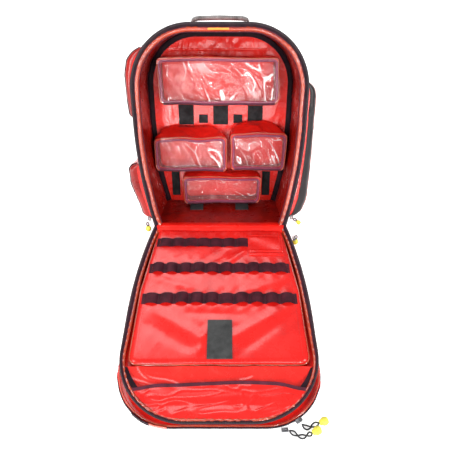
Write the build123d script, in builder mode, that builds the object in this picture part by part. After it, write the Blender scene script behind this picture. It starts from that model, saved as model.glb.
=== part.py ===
from build123d import *
import os
from math import cos, pi, radians, sin, sqrt

# A clamshell trauma backpack, standing open: the back half leans on its harness and on a
# flat heel, and the lid half lies on the floor in front of it. Millimetres. X runs across
# the pack, -Y points to the front, +Z is up, and the origin is the middle of the heel.

os.makedirs("parts", exist_ok=True)

# ---- driving dimensions ----
RIM_WIDTH = 390.0          # across the zip, at its widest
HINGE_WIDTH = 328.0        # across the zip, at the hinge
RIM_LENGTH = 452.0         # from the hinge to the crown
WIDEST_AT = 250.0          # height up the rim where the sides become straight
CORNER_R = 134.0           # crown corners of the rim
BACK_DEPTH = 190.0         # from the zip to the back wall
BACK_WALL = 16.0           # padded back wall
RIM_LEAN = 19.0            # degrees that the rim of the back half leans back
LID_SLOPE = 8.2            # degrees that the open lid runs down to the front
HINGE_HEIGHT = 82.0        # hinge line above the floor
LID_DEPTH = 56.0           # from the zip to the lid's panel, at the hinge
LID_TIP_DEPTH = 10.0       # and at the crown
FRONT_WIDTH = 394.0        # front pocket
FRONT_LENGTH = 455.0
FRONT_CORNER_R = 112.0
WALL = 4.0                 # padded side walls
TAPE = 9.0                 # width of zip tape and piping round the rim
TAPE_T = 4.7               # and its thickness
GAP = 0.3                  # between the two zip halves and the plane where they meet
FIT = 0.4                  # between pieces that move against each other
WEB = 25.0                 # webbing and elastic width
BOARD = 5.0                # lid panel
HEEL_T = 34.0              # padded heel under the base
LUMBAR_T = 30.0
PAD_T = 14.0               # back pads
STRAP_T = 12.0             # shoulder straps and belt wings
PANEL_T = 15.0             # organiser panel
PANEL_LENGTH = 336.0

# ---- the frames of the two halves ----
lean = radians(RIM_LEAN)
slope = radians(LID_SLOPE)
into_back = Vector(0, cos(lean), -sin(lean))
up_back = Vector(0, sin(lean), cos(lean))
out_lid = Vector(0, -cos(slope), -sin(slope))
into_lid = Vector(0, sin(slope), -cos(slope))


def floor_height(depth):
    """Height up the back rim at which the floor is met, for a depth behind the rim."""
    return (depth * sin(lean) - HINGE_HEIGHT) / cos(lean)


HEEL_BACK = BACK_DEPTH + BACK_WALL + LUMBAR_T
HEEL_FRONT = (HINGE_HEIGHT - HEEL_T * cos(lean)) / sin(lean)
heel_mid = (HEEL_BACK + HEEL_FRONT) / 2
HINGE_Y = -(heel_mid * cos(lean) + floor_height(heel_mid) * sin(lean))
hinge = Vector(0, HINGE_Y, HINGE_HEIGHT)

rim_back = Plane(origin=hinge, x_dir=(1, 0, 0), z_dir=-into_back)
rim_lid = Plane(origin=hinge, x_dir=(1, 0, 0), z_dir=into_lid)
side_back = Plane(origin=hinge, x_dir=into_back, z_dir=(1, 0, 0))
side_lid = Plane(origin=hinge, x_dir=out_lid, z_dir=(1, 0, 0))


def back_point(x, height, depth):
    """A point of the back half, from its place across, up the rim and into the pack."""
    return hinge + Vector(x, 0, 0) + up_back * height + into_back * depth


def lid_point(x, along, depth):
    """A point of the lid, from its place across, along the rim and into the lid."""
    return hinge + Vector(x, 0, 0) + out_lid * along + into_lid * depth


def back_plane(depth):
    """The rim's plane moved into the back half; its extrusions run back towards the rim."""
    return rim_back.offset(-depth)


def lid_plane(depth):
    """The rim's plane moved into the lid; its extrusions run on into the lid."""
    return rim_lid.offset(depth)


def panel_plane(extra):
    """The sloping plane of the lid's panel, moved outwards; its upper side faces the rim."""
    near = lid_point(0, 0, LID_DEPTH + extra)
    far = lid_point(0, RIM_LENGTH, LID_TIP_DEPTH + extra)
    along = (far - near).normalized()
    return Plane(origin=near, x_dir=(1, 0, 0), z_dir=along.cross(Vector(1, 0, 0)))


SIDE_SAG = (RIM_WIDTH - HINGE_WIDTH) / 2
SIDE_R = (WIDEST_AT ** 2 + SIDE_SAG ** 2) / (2 * SIDE_SAG)


def half_width(height, inset=0.0, width=RIM_WIDTH):
    """Half the width of the outline at a height up the rim, below the crown's corners."""
    if height >= WIDEST_AT:
        return width / 2 - inset
    run = WIDEST_AT - height
    return width / 2 - SIDE_R + sqrt((SIDE_R - inset) ** 2 - run ** 2)


def outline(inset=0.0, bottom=0.0, width=RIM_WIDTH, length=RIM_LENGTH, corner=CORNER_R):
    """The pack's arched outline as a flat sketch, drawn inside the rim by the inset."""
    half = width / 2 - inset
    top = length - inset
    r = corner - inset
    low = half_width(bottom, inset, width)
    mid = half_width((bottom + WIDEST_AT) / 2, inset, width)
    with BuildSketch() as face:
        with BuildLine():
            Line((-low, bottom), (low, bottom))
            ThreePointArc((low, bottom), (mid, (bottom + WIDEST_AT) / 2), (half, WIDEST_AT))
            Line((half, WIDEST_AT), (half, top - r))
            RadiusArc((half, top - r), (half - r, top), -r)
            Line((half - r, top), (r - half, top))
            RadiusArc((r - half, top), (-half, top - r), -r)
            Line((-half, top - r), (-half, WIDEST_AT))
            ThreePointArc((-half, WIDEST_AT), (-mid, (bottom + WIDEST_AT) / 2), (-low, bottom))
        make_face()
    return face.sketch


def ring(outer, inner, bottom=0.0):
    """An arch between two insets of the outline, open at the hinge."""
    with BuildSketch() as face:
        add(outline(outer, bottom))
        add(outline(inner, bottom - 20), mode=Mode.SUBTRACT)
    return face.sketch


def save(solid, name):
    """Labels a finished piece and writes its file."""
    solid.label = name
    export_step(solid, f"parts/{name}.step")


# ---- back half: shell ----
WALL_IN = 3.0              # the wall starts inside the piping
CAVITY = WALL_IN + WALL

with BuildPart() as main_zip_back:
    with BuildSketch(back_plane(GAP + TAPE_T)):
        add(ring(0.0, TAPE, 6.0))
    extrude(amount=TAPE_T)
save(main_zip_back.part, "main_zip_back")

with BuildPart() as gusset_wall:
    with BuildSketch(back_plane(BACK_DEPTH + BACK_WALL)):
        add(ring(WALL_IN, CAVITY))
    extrude(amount=BACK_DEPTH + BACK_WALL - GAP - TAPE_T)
save(gusset_wall.part, "gusset_wall")

SHEET_W = 250.0            # frame sheet inside the back wall
SHEET_H = 400.0
SHEET_MID = 20.0 + SHEET_H / 2
with BuildPart() as back_panel:
    with BuildSketch(back_plane(BACK_DEPTH + BACK_WALL)):
        add(outline(CAVITY + 0.2))
    extrude(amount=BACK_WALL)
    with BuildSketch(back_plane(BACK_DEPTH + 12)):
        with Locations((0, SHEET_MID)):
            RectangleRounded(SHEET_W + 2, SHEET_H + 2, 26)
    extrude(amount=7, mode=Mode.SUBTRACT)
save(back_panel.part, "back_panel")

with BuildPart() as frame_sheet:
    with BuildSketch(back_plane(BACK_DEPTH + 7.5)):
        with Locations((0, SHEET_MID)):
            RectangleRounded(SHEET_W, SHEET_H, 25)
    extrude(amount=2)
save(frame_sheet.part, "frame_sheet")

with BuildPart() as frame_stays:
    with BuildSketch(back_plane(BACK_DEPTH + 11)):
        with Locations((-60, SHEET_MID), (60, SHEET_MID)):
            Rectangle(20, SHEET_H - 20)
    extrude(amount=3)
save(frame_stays.part, "frame_stays")

BASE_FRONT = 8.0
base_half = half_width(0.0, WALL_IN)
with BuildPart() as base_panel:
    with BuildSketch(side_back):
        with Locations(((BASE_FRONT + BACK_DEPTH + BACK_WALL) / 2, -WALL / 2)):
            Rectangle(BACK_DEPTH + BACK_WALL - BASE_FRONT, WALL)
    extrude(amount=base_half, both=True)
save(base_panel.part, "base_panel")

# The heel is cut level with the floor, so that the open pack stands on a flat strip.
with BuildPart() as base_boot:
    with BuildSketch(side_back):
        with BuildLine():
            Polyline((70, -WALL), (BACK_DEPTH + BACK_WALL, -WALL),
                     (BACK_DEPTH + BACK_WALL, floor_height(BACK_DEPTH + BACK_WALL)),
                     (HEEL_FRONT, -HEEL_T), (110, -26), (82, -14), (70, -WALL))
        make_face()
    extrude(amount=base_half - 12, both=True)
    fillet(base_boot.edges().filter_by(Axis.X).group_by(Axis.Z)[-2], radius=3)
save(base_boot.part, "base_boot")

with BuildPart() as lumbar_pad:
    with BuildSketch(side_back):
        with BuildLine():
            Polyline((BACK_DEPTH + BACK_WALL, floor_height(BACK_DEPTH + BACK_WALL)),
                     (HEEL_BACK, floor_height(HEEL_BACK)), (HEEL_BACK, 58),
                     (HEEL_BACK - 12, 70), (BACK_DEPTH + BACK_WALL, 70),
                     (BACK_DEPTH + BACK_WALL, floor_height(BACK_DEPTH + BACK_WALL)))
        make_face()
    extrude(amount=118, both=True)
save(lumbar_pad.part, "lumbar_pad")

REAR = BACK_DEPTH + BACK_WALL
with BuildPart() as back_pads:
    with BuildSketch(back_plane(REAR + PAD_T)):
        with Locations((-60, 252), (60, 252)):
            RectangleRounded(84, 264, 20)
    extrude(amount=PAD_T)
save(back_pads.part, "back_pads")

with BuildPart() as hinge_piping:
    with BuildSketch(Plane(origin=back_point(5 - base_half, 0, 0), z_dir=(1, 0, 0))):
        Circle(2.5)
    extrude(amount=2 * base_half - 10)
save(hinge_piping.part, "hinge_piping")

# ---- back half: things sewn inside ----
STRIP_T = 1.5
with BuildPart() as pouch_loop_strips:
    with BuildSketch(back_plane(BACK_DEPTH)):
        with Locations((-92, 245), (0, 245), (92, 245)):
            Rectangle(40, 56)
        with Locations((-46, 232), (46, 232)):
            Rectangle(24, 22)
        with Locations((-128, 52), (128, 52)):
            Rectangle(22, 70)
    extrude(amount=STRIP_T)
save(pouch_loop_strips.part, "pouch_loop_strips")

TAB_W = 36.0
TAB_L = 62.0
TAB_T = 2.0
with BuildPart() as floor_tabs:
    for across in (-66, 58):
        with BuildSketch(side_back.offset(across - TAB_W / 2)):
            with Locations((140, TAB_T / 2)):
                Rectangle(TAB_L, TAB_T)
        extrude(amount=TAB_W)
save(floor_tabs.part, "floor_tabs")

with BuildPart() as label_patch:
    with BuildSketch(Plane(origin=back_point(0, RIM_LENGTH - CAVITY, 20), x_dir=(1, 0, 0),
                           z_dir=-up_back)):
        RectangleRounded(52, 18, 2)
    extrude(amount=0.8)
save(label_patch.part, "label_patch")

# ---- back half: side pockets, outside the walls ----
POCKET_NEAR = 24.0         # depth behind the rim where the pockets start
POCKET_DEEP = 128.0
POCKET_X = 226.0


def side_pocket(points):
    """A pocket on a side wall, from its outer edge as points across and up the rim."""
    with BuildSketch() as face:
        with BuildLine():
            Polyline(*points, close=True)
        make_face()
        add(outline(WALL_IN - 0.05, -40), mode=Mode.SUBTRACT)
    with BuildPart() as pocket:
        with BuildSketch(back_plane(POCKET_NEAR + POCKET_DEEP)):
            add(face.sketch)
        extrude(amount=POCKET_DEEP)
        outer = pocket.edges().filter_by(Axis(hinge, up_back)).sort_by(Axis.X)
        chosen = outer[:2] if points[1][0] < 0 else outer[-2:]
        fillet(chosen, radius=14)
    return pocket.part


save(side_pocket([(-140, 250), (-POCKET_X, 256), (-POCKET_X, 372), (-204, 400), (-140, 408)]),
     "side_pocket_upper_left")
save(side_pocket([(-140, 4), (-196, 4), (-POCKET_X, 90), (-POCKET_X, 146), (-140, 150)]),
     "side_pocket_lower_left")
save(side_pocket([(140, 6), (204, 6), (POCKET_X, 60), (POCKET_X, 318), (206, 335), (140, 338)]),
     "side_pocket_right")

# ---- grab handle on the crown ----
HANDLE_SPAN = 62.0         # half the distance between its ends
HANDLE_RISE = 18.0
HANDLE_W = 25.0
HANDLE_T = 4.0
LEG_W = 5.0                # the webbing is folded narrow at its ends, so that it can tip over
HANDLE_DEPTH = 150.0
crown = RIM_LENGTH - WALL_IN
handle_axis = crown + 5.0
handle_plane = Plane(origin=back_point(0, handle_axis, HANDLE_DEPTH), x_dir=(1, 0, 0),
                     z_dir=-into_back)
with BuildPart() as top_handle:
    with BuildSketch(handle_plane):
        with BuildLine():
            outer_edge = FilletPolyline((-HANDLE_SPAN, 0), (10 - HANDLE_SPAN, HANDLE_RISE),
                                        (HANDLE_SPAN - 10, HANDLE_RISE), (HANDLE_SPAN, 0),
                                        radius=14)
            inner_edge = FilletPolyline((-HANDLE_SPAN + HANDLE_T + 1, 0),
                                        (14 - HANDLE_SPAN, HANDLE_RISE - HANDLE_T),
                                        (HANDLE_SPAN - 14, HANDLE_RISE - HANDLE_T),
                                        (HANDLE_SPAN - HANDLE_T - 1, 0), radius=10)
            Line(outer_edge @ 0, inner_edge @ 0)
            Line(outer_edge @ 1, inner_edge @ 1)
        make_face()
    extrude(amount=LEG_W / 2, both=True)
    with BuildSketch(handle_plane):
        with Locations((0, HANDLE_RISE - HANDLE_T / 2)):
            RectangleRounded(2 * HANDLE_SPAN - 28, HANDLE_T, 1.5)
    extrude(amount=HANDLE_W / 2, both=True)
save(top_handle.part, "top_handle")

with BuildPart() as yoke_patch:
    with BuildSketch(back_plane(REAR + PAD_T)):
        with Locations((0, 418)):
            RectangleRounded(200, 30, 6)
    extrude(amount=PAD_T)
    for side in (-1, 1):
        with BuildSketch(back_plane(HANDLE_DEPTH + 17)):
            with Locations((side * (HANDLE_SPAN - 3), crown + 1.5)):
                Rectangle(24, 3)
        extrude(amount=34)
save(yoke_patch.part, "yoke_patch")

# ---- shoulder straps, sternum strap and lower webbing ----
STRAP_TOP = 399.0
STRAP_DEPTH = REAR + PAD_T + 0.5


def shoulder_strap(side):
    """A padded strap that leaves the yoke and spreads outwards down the back."""
    with BuildPart() as strap:
        with BuildSketch(back_plane(STRAP_DEPTH + STRAP_T)) as profile:
            with BuildLine():
                Polyline((side * 30, STRAP_TOP), (side * 90, STRAP_TOP), (side * 100, 250),
                         (side * 120, 128), (side * 74, 122), (side * 42, 250),
                         (side * 30, STRAP_TOP))
            make_face()
            fillet(profile.vertices().sort_by(Axis.Y)[:2], radius=14)
        extrude(amount=STRAP_T)
        fillet(strap.edges().filter_by(Axis.X).group_by(Axis.Z)[-1], radius=5)
    return strap.part


for side, name in ((-1, "left"), (1, "right")):
    save(shoulder_strap(side), f"shoulder_strap_{name}")

LOCK_T = 7.0
for side, name in ((-1, "left"), (1, "right")):
    with BuildPart() as ladder_lock:
        with BuildSketch(back_plane(STRAP_DEPTH + STRAP_T / 2 + LOCK_T / 2)):
            with Locations(Location((side * 98.5, 112, 0), (0, 0, side * 8))):
                RectangleRounded(36, 20, 4)
                with Locations((0, 4.5), (0, -4.5)):
                    Rectangle(27, 4, mode=Mode.SUBTRACT)
        extrude(amount=LOCK_T)
    save(ladder_lock.part, f"ladder_lock_{name}")

with BuildPart() as lower_straps:
    for side in (-1, 1):
        with BuildSketch(back_plane(REAR + 2)):
            with BuildLine():
                Polyline((side * 90, 98), (side * 112, 114), (side * 158, 66), (side * 158, 34),
                         (side * 90, 98))
            make_face()
        extrude(amount=2)
save(lower_straps.part, "lower_straps")

for side, name in ((-1, "left"), (1, "right")):
    with BuildPart() as sternum_buckle:
        with BuildSketch(back_plane(STRAP_DEPTH + 8)):
            with Locations((side * 29.5, 290)):
                Rectangle(15.5, 20)
            with Locations((side * 12, 290)):
                RectangleRounded(23, 28, 4)
        extrude(amount=6)
    save(sternum_buckle.part, f"sternum_buckle_{name}")

# ---- hip belt, folded in behind the lumbar pad ----
WING_DEPTH = HEEL_BACK + 1.2
for side, name in ((-1, "left"), (1, "right")):
    with BuildPart() as hip_wing:
        with BuildSketch(back_plane(WING_DEPTH + STRAP_T)):
            with BuildLine():
                Polyline((side * 118, 12), (side * 118, 62), (side * 60, 66), (side * 12, 54),
                         (side * 12, 20), (side * 60, 8), (side * 118, 12))
            make_face()
        extrude(amount=STRAP_T)
        fillet(hip_wing.edges().filter_by(Axis(hinge, into_back)), radius=5)
    save(hip_wing.part, f"hip_wing_{name}")

BUCKLE_DEPTH = WING_DEPTH + STRAP_T
with BuildPart() as hip_buckle_male:
    with BuildSketch(back_plane(BUCKLE_DEPTH + 9)):
        with Locations((-52, 37)):
            RectangleRounded(22, 38, 3)
        with Locations((-31, 26), (-31, 37), (-31, 48)):
            Rectangle(22, 6)
    extrude(amount=9)
save(hip_buckle_male.part, "hip_buckle_male")

with BuildPart() as hip_buckle_female:
    with BuildSketch(back_plane(BUCKLE_DEPTH + 11)):
        with Locations((45, 37)):
            RectangleRounded(44, 42, 6)
    extrude(amount=11)
    with BuildSketch(back_plane(BUCKLE_DEPTH + 10)):
        with Locations((37, 37)):
            Rectangle(30, 32)
    extrude(amount=9, mode=Mode.SUBTRACT)
save(hip_buckle_female.part, "hip_buckle_female")

# ---- modular pouches on the back wall, each with a window flap hinged at its lower edge ----
POUCH_WALL = 2.0
POUCH_BACK = BACK_DEPTH - STRIP_T - FIT

# name, centre across, width, low edge, back top edge, front top edge, thickness
POUCHES = (
    ("top", -6.0, 300.0, 275.0, 389.0, 386.0, 72.0),
    ("middle_left", -77.0, 194.0, 101.0, 217.0, 194.0, 62.0),
    ("middle_right", 99.0, 146.0, 104.0, 226.0, 205.0, 62.0),
    ("bottom", 2.0, 212.0, 12.0, 96.0, 90.0, 62.0),
)


def pouch_tray(across, width, low, back_top, front_top, thick):
    """A soft tray, open at the front, with a top that slopes down to its front edge."""
    front = BACK_DEPTH - thick
    with BuildPart() as tray:
        with BuildSketch(side_back):
            with BuildLine():
                Polyline((POUCH_BACK, low), (POUCH_BACK, back_top), (front, front_top),
                         (front, low), (POUCH_BACK, low))
            make_face()
        extrude(amount=width / 2, both=True)
        with BuildSketch(side_back):
            with BuildLine():
                Polyline((POUCH_BACK - POUCH_WALL, low + POUCH_WALL),
                         (POUCH_BACK - POUCH_WALL, back_top - 1.6 * POUCH_WALL),
                         (front, front_top - 1.6 * POUCH_WALL),
                         (front, low + POUCH_WALL),
                         (POUCH_BACK - POUCH_WALL, low + POUCH_WALL))
            make_face()
        extrude(amount=width / 2 - POUCH_WALL, both=True, mode=Mode.SUBTRACT)
    return tray.part.moved(Location((across, 0, 0)))


def pouch_window(across, width, low, front_top, thick):
    """The clear flap that closes a pouch, with its bound edge."""
    with BuildPart() as flap:
        with BuildSketch(back_plane(BACK_DEPTH - thick - FIT)):
            with Locations((across, (low + front_top) / 2)):
                RectangleRounded(width, front_top - low, 12)
        extrude(amount=POUCH_WALL)
    return flap.part


for name, across, width, low, back_top, front_top, thick in POUCHES:
    save(pouch_tray(across, width, low, back_top, front_top, thick), f"pouch_{name}")
    save(pouch_window(across, width, low, front_top, thick), f"pouch_{name}_window")

# ---- lid: shell ----
with BuildPart() as main_zip_lid:
    with BuildSketch(lid_plane(GAP)):
        add(ring(0.0, TAPE, 6.0))
    extrude(amount=TAPE_T)
save(main_zip_lid.part, "main_zip_lid")

END_NEAR = 8.0
with BuildPart() as lid_wall:
    with BuildSketch(lid_plane(GAP + TAPE_T)):
        add(ring(WALL_IN, CAVITY))
    extrude(amount=LID_DEPTH)
    with BuildSketch(lid_plane(END_NEAR)):
        with Locations((0, -WALL / 2)):
            Rectangle(2 * base_half, WALL)
    extrude(amount=LID_DEPTH)
    split(bisect_by=panel_plane(0.0), keep=Keep.TOP)
save(lid_wall.part, "lid_wall")

with BuildPart() as lid_panel:
    with BuildSketch(lid_plane(1)):
        add(outline(WALL_IN, -WALL))
    extrude(amount=LID_DEPTH + BOARD + 10)
    split(bisect_by=panel_plane(0.0), keep=Keep.BOTTOM)
    split(bisect_by=panel_plane(BOARD), keep=Keep.TOP)
save(lid_panel.part, "lid_panel")

with BuildPart() as front_pocket:
    with BuildSketch(lid_plane(1)):
        add(outline(0.0, 22, FRONT_WIDTH, FRONT_LENGTH, FRONT_CORNER_R))
    extrude(amount=HINGE_HEIGHT + 20)
    split(bisect_by=panel_plane(BOARD), keep=Keep.BOTTOM)
    split(bisect_by=Plane.XY, keep=Keep.TOP)
save(front_pocket.part, "front_pocket")

# The zip of the front pocket runs round its edge, just above the floor.
ZIP_T = 1.2
zip_low = Plane.XY.offset(1.0)
zip_high = Plane.XY.offset(3.4)
with BuildPart() as front_pocket_zip:
    with BuildSketch(lid_plane(1)):
        add(outline(-ZIP_T, 60, FRONT_WIDTH, FRONT_LENGTH, FRONT_CORNER_R))
        add(outline(0.0, 20, FRONT_WIDTH, FRONT_LENGTH, FRONT_CORNER_R), mode=Mode.SUBTRACT)
    extrude(amount=HINGE_HEIGHT + 20)
    split(bisect_by=zip_low, keep=Keep.TOP)
    split(bisect_by=zip_high, keep=Keep.BOTTOM)
save(front_pocket_zip.part, "front_pocket_zip")

# The pocket at the lid's far end is a sheet under the rim, open towards the hinge.
MOUTH_AT = 384.0
with BuildPart() as end_pocket:
    with BuildSketch(lid_plane(2.5)):
        add(outline(TAPE + 0.5))
        with Locations((0, MOUTH_AT / 2)):
            Rectangle(RIM_WIDTH, MOUTH_AT, mode=Mode.SUBTRACT)
    extrude(amount=1.5)
save(end_pocket.part, "end_pocket")

# ---- organiser panel, hinged at the end next to the hinge ----
PANEL_TOP = 3.0            # depth of its upper face below the rim
PANEL_NEAR = 8.0
PANEL_FAR = PANEL_NEAR + PANEL_LENGTH
with BuildPart() as organiser_panel:
    with BuildSketch(lid_plane(PANEL_TOP)) as panel_face:
        with BuildLine():
            Polyline((-150, PANEL_NEAR), (150, PANEL_NEAR), (174, 180), (177, PANEL_FAR),
                     (-177, PANEL_FAR), (-174, 180), (-150, PANEL_NEAR))
        make_face()
        fillet(panel_face.vertices().group_by(Axis.Y)[-1], radius=18)
    extrude(amount=PANEL_T)
save(organiser_panel.part, "organiser_panel")

# place along the lid, first loop's left edge, number of loops, pitch
LOOP_ROWS = ((38.0, -149.0, 7, 31.0), (112.0, -156.0, 10, 31.0), (190.0, -163.0, 10, 32.5))
LOOP_H = 9.0
LOOP_T = 1.4
with BuildPart() as elastic_loops:
    for along, left, count, pitch in LOOP_ROWS:
        row = Plane(origin=lid_point(0, along, PANEL_TOP), x_dir=(1, 0, 0), z_dir=out_lid)
        half = pitch / 2 - 2.5
        with BuildSketch(row):
            with Locations([(left + pitch * (n + 0.5), 0) for n in range(count)]):
                with BuildLine(mode=Mode.PRIVATE) as loop_edge:
                    ThreePointArc((-half, 0), (0, LOOP_H), (half, 0))
                    Line((half, 0), (half - LOOP_T, 0))
                    ThreePointArc((half - LOOP_T, 0), (0, LOOP_H - LOOP_T), (LOOP_T - half, 0))
                    Line((LOOP_T - half, 0), (-half, 0))
                add(make_face(loop_edge.edges(), mode=Mode.PRIVATE))
        extrude(amount=WEB)
save(elastic_loops.part, "elastic_loops")

with BuildPart() as small_pocket:
    with BuildSketch(lid_plane(PANEL_TOP)):
        with Locations((108, 60)):
            RectangleRounded(82, 58, 4)
    extrude(amount=-3)
save(small_pocket.part, "small_pocket")

with BuildPart() as loop_patch:
    with BuildSketch(lid_plane(PANEL_TOP)):
        with Locations((1, 295)):
            Rectangle(50, 82)
    extrude(amount=-2)
save(loop_patch.part, "loop_patch")

# ---- zip sliders and their pulls ----
SLIDER = (14.0, 7.0, 8.0)  # along the zip, across it, and through it
TRAVEL = 100.0             # main sliders, along the nearly straight side
CLEAR = 2.8                # keeps the straight travel outside the curved side
END_R = 6.5                # moulded end of a hanging pull
END_L = 17.0
HANG = 12.0                # cord loop above the end


def slider_block(place, along, through):
    """A slider as a rounded block with the puller's bridge on its outer side."""
    with BuildPart() as block:
        with BuildSketch(Plane(origin=place, x_dir=along, z_dir=through)):
            RectangleRounded(SLIDER[0], SLIDER[1], 2.5)
        extrude(amount=SLIDER[2] / 2, both=True)
    return block.part


def hanging_loop(top):
    """The cord loop of a pull that hangs straight down."""
    with BuildPart() as loop:
        with BuildSketch(Plane(origin=top - Vector(0, 0, HANG), x_dir=(0, 1, 0), z_dir=(0, 0, 1))):
            SlotOverall(9, 3)
        extrude(amount=HANG)
    return loop.part


def moulded_end(start, direction, radius, length):
    """A round moulded end with softened edges."""
    with BuildPart() as end:
        with BuildSketch(Plane(origin=start, z_dir=direction)):
            Circle(radius)
        extrude(amount=length)
        fillet(end.edges(), radius=radius * 0.45)
    return end.part


for name, side, at, point in (("left", -1, 19.0, back_point), ("right", 1, 40.0, lid_point)):
    near_x = half_width(at) + CLEAR + SLIDER[1] / 2
    far_x = half_width(at + TRAVEL) + CLEAR + SLIDER[1] / 2
    near = point(side * near_x, at, 0)
    along = (point(side * far_x, at + TRAVEL, 0) - near).normalized()
    through = into_back if point is back_point else into_lid
    save(slider_block(near, along, through), f"main_slider_{name}")
    top = point(side * (near_x + 5.0), at - 9.5, 0)
    save(hanging_loop(top - Vector(0, 0, 0.5)), f"main_pull_loop_{name}")
    save(moulded_end(top - Vector(0, 0, 0.5 + HANG), (0, 0, -1), END_R, END_L),
         f"main_pull_end_{name}")

# The two sliders of the front pocket rest together on its corner, and their cords lie on the
# floor. Routes are points by hand, measured from the hinge across, along Y and above the floor.
CORD_D = 5.0
FLOOR_END_R = 7.0
PULL_ROUTES = {
    "a": ((149.2, -443.0, 4.0), (153.8, -448.0, 2.8), (162.0, -448.4, 2.7),
          (170.5, -444.2, 4.6), (179.5, -442.0, 7.2)),
    "b": ((124.8, -454.0, 4.0), (131.5, -456.8, 2.8), (139.0, -462.4, 2.7),
          (148.5, -463.8, 2.7), (157.0, -461.2, 4.6), (164.5, -458.8, 7.2)),
}
SLIDER_PLACES = {"a": ((144.2, -436.8, 4.2), (0.8625, 0.505 / cos(slope))),
                 "b": ((117.0, -453.0, 4.2), (-1.0, -0.0357))}


def corner_radii(points):
    """Arc radii for a route: 0.45 of the shorter run over the tangent of half the turn."""
    radii = []
    for before, here, after in zip(points, points[1:], points[2:]):
        first = here - before
        second = after - here
        turn = radians(first.get_angle(second))
        radii.append(0.45 * min(first.length, second.length) / (sin(turn / 2) / cos(turn / 2)))
    return radii


for name, route in PULL_ROUTES.items():
    place, along = SLIDER_PLACES[name]
    centre = Vector(place[0], HINGE_Y + place[1], place[2])
    save(slider_block(centre, Vector(along[0], along[1], 0), Vector(0, 0, 1)),
         f"pocket_slider_{name}")
    points = [Vector(x, HINGE_Y + y, z) for x, y, z in route]
    radii = corner_radii(points)
    print(f"pull cord {name}: radii", [round(r, 1) for r in radii])
    with BuildPart() as pull_cord:
        with BuildLine() as cord_path:
            FilletPolyline(*points, radius=radii)
        path = cord_path.wire()
        with BuildSketch(Plane(origin=path @ 0, z_dir=path % 0)):
            Circle(CORD_D / 2)
        sweep()
    print(f"pull cord {name}: {path.length:.1f} mm long, tube {pull_cord.part.volume:.0f} mm3,",
          f"section times length {pi * CORD_D ** 2 / 4 * path.length:.0f} mm3")
    save(pull_cord.part, f"pocket_pull_cord_{name}")
    # The end follows the cord's last run, so that they meet face to face.
    save(moulded_end(path @ 1, path % 1, FLOOR_END_R, END_L), f"pocket_pull_end_{name}")
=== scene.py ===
import math

import bmesh
import bpy
import numpy as np
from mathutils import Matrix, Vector
from mathutils.bvhtree import BVHTree


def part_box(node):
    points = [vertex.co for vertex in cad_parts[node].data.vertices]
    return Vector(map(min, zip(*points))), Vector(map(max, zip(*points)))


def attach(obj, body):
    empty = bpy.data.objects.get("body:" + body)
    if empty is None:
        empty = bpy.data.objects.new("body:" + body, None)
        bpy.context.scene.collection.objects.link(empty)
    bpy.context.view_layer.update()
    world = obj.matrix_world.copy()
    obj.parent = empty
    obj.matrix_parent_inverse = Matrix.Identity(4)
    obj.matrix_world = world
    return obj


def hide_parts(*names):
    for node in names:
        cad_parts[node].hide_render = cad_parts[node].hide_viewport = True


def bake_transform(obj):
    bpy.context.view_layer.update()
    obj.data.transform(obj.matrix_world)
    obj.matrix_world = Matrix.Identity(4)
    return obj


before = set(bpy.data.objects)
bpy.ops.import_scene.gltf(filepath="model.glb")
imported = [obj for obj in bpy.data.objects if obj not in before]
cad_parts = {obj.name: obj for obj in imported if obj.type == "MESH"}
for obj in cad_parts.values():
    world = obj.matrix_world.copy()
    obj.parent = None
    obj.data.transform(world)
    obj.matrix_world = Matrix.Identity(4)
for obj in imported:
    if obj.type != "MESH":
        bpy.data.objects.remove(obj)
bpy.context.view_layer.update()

# ---- the frames of the two halves, in millimetres; meshes are made in metres ----
MM = 0.001
LEAN, SLOPE = math.radians(19.0), math.radians(8.2)
HINGE_Z = 82.0
REAR = 206.0               # back of the back wall
HEEL_BACK = REAR + 30.0
HEEL_FRONT = (HINGE_Z - 34.0 * math.cos(LEAN)) / math.sin(LEAN)
HEEL_MID = (HEEL_BACK + HEEL_FRONT) / 2
HINGE_Y = -(HEEL_MID * math.cos(LEAN)
            + (HEEL_MID * math.sin(LEAN) - HINGE_Z) / math.cos(LEAN) * math.sin(LEAN))
HINGE = np.array([0.0, HINGE_Y, HINGE_Z])
ACROSS = np.array([1.0, 0, 0])
INTO_BACK = np.array([0, math.cos(LEAN), -math.sin(LEAN)])
UP_BACK = np.array([0, math.sin(LEAN), math.cos(LEAN)])
OUT_LID = np.array([0, -math.cos(SLOPE), -math.sin(SLOPE)])
INTO_LID = np.array([0, math.sin(SLOPE), -math.cos(SLOPE)])
OUTWARD = INTO_BACK        # the harness side faces away from the opening
UPRIGHT = np.array([0, 0, 1.0])

RIM_WIDTH, HINGE_WIDTH, RIM_LENGTH, WIDEST_AT, CORNER_R = 390.0, 328.0, 452.0, 250.0, 134.0
BACK_DEPTH = 190.0
SIDE_SAG = (RIM_WIDTH - HINGE_WIDTH) / 2
SIDE_R = (WIDEST_AT ** 2 + SIDE_SAG ** 2) / (2 * SIDE_SAG)


def place(axes, a, b, c):
    a, b, c = np.broadcast_arrays(a, b, c)
    return (HINGE + np.asarray(a, float)[..., None] * axes[0] + np.asarray(b, float)[..., None]
            * axes[1] + np.asarray(c, float)[..., None] * axes[2])


def back(x, height, depth):
    """Points of the back half, from their place across, up the rim and into the pack."""
    return place((ACROSS, UP_BACK, INTO_BACK), x, height, depth)


def lid(x, along, depth):
    """Points of the lid, from their place across, along the rim and into the lid."""
    return place((ACROSS, OUT_LID, INTO_LID), x, along, depth)


def half_width(height, inset=0.0, width=RIM_WIDTH):
    run = np.maximum(WIDEST_AT - np.asarray(height, float), 0)
    return width / 2 - SIDE_R + np.sqrt((SIDE_R - inset) ** 2 - run ** 2)


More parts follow.
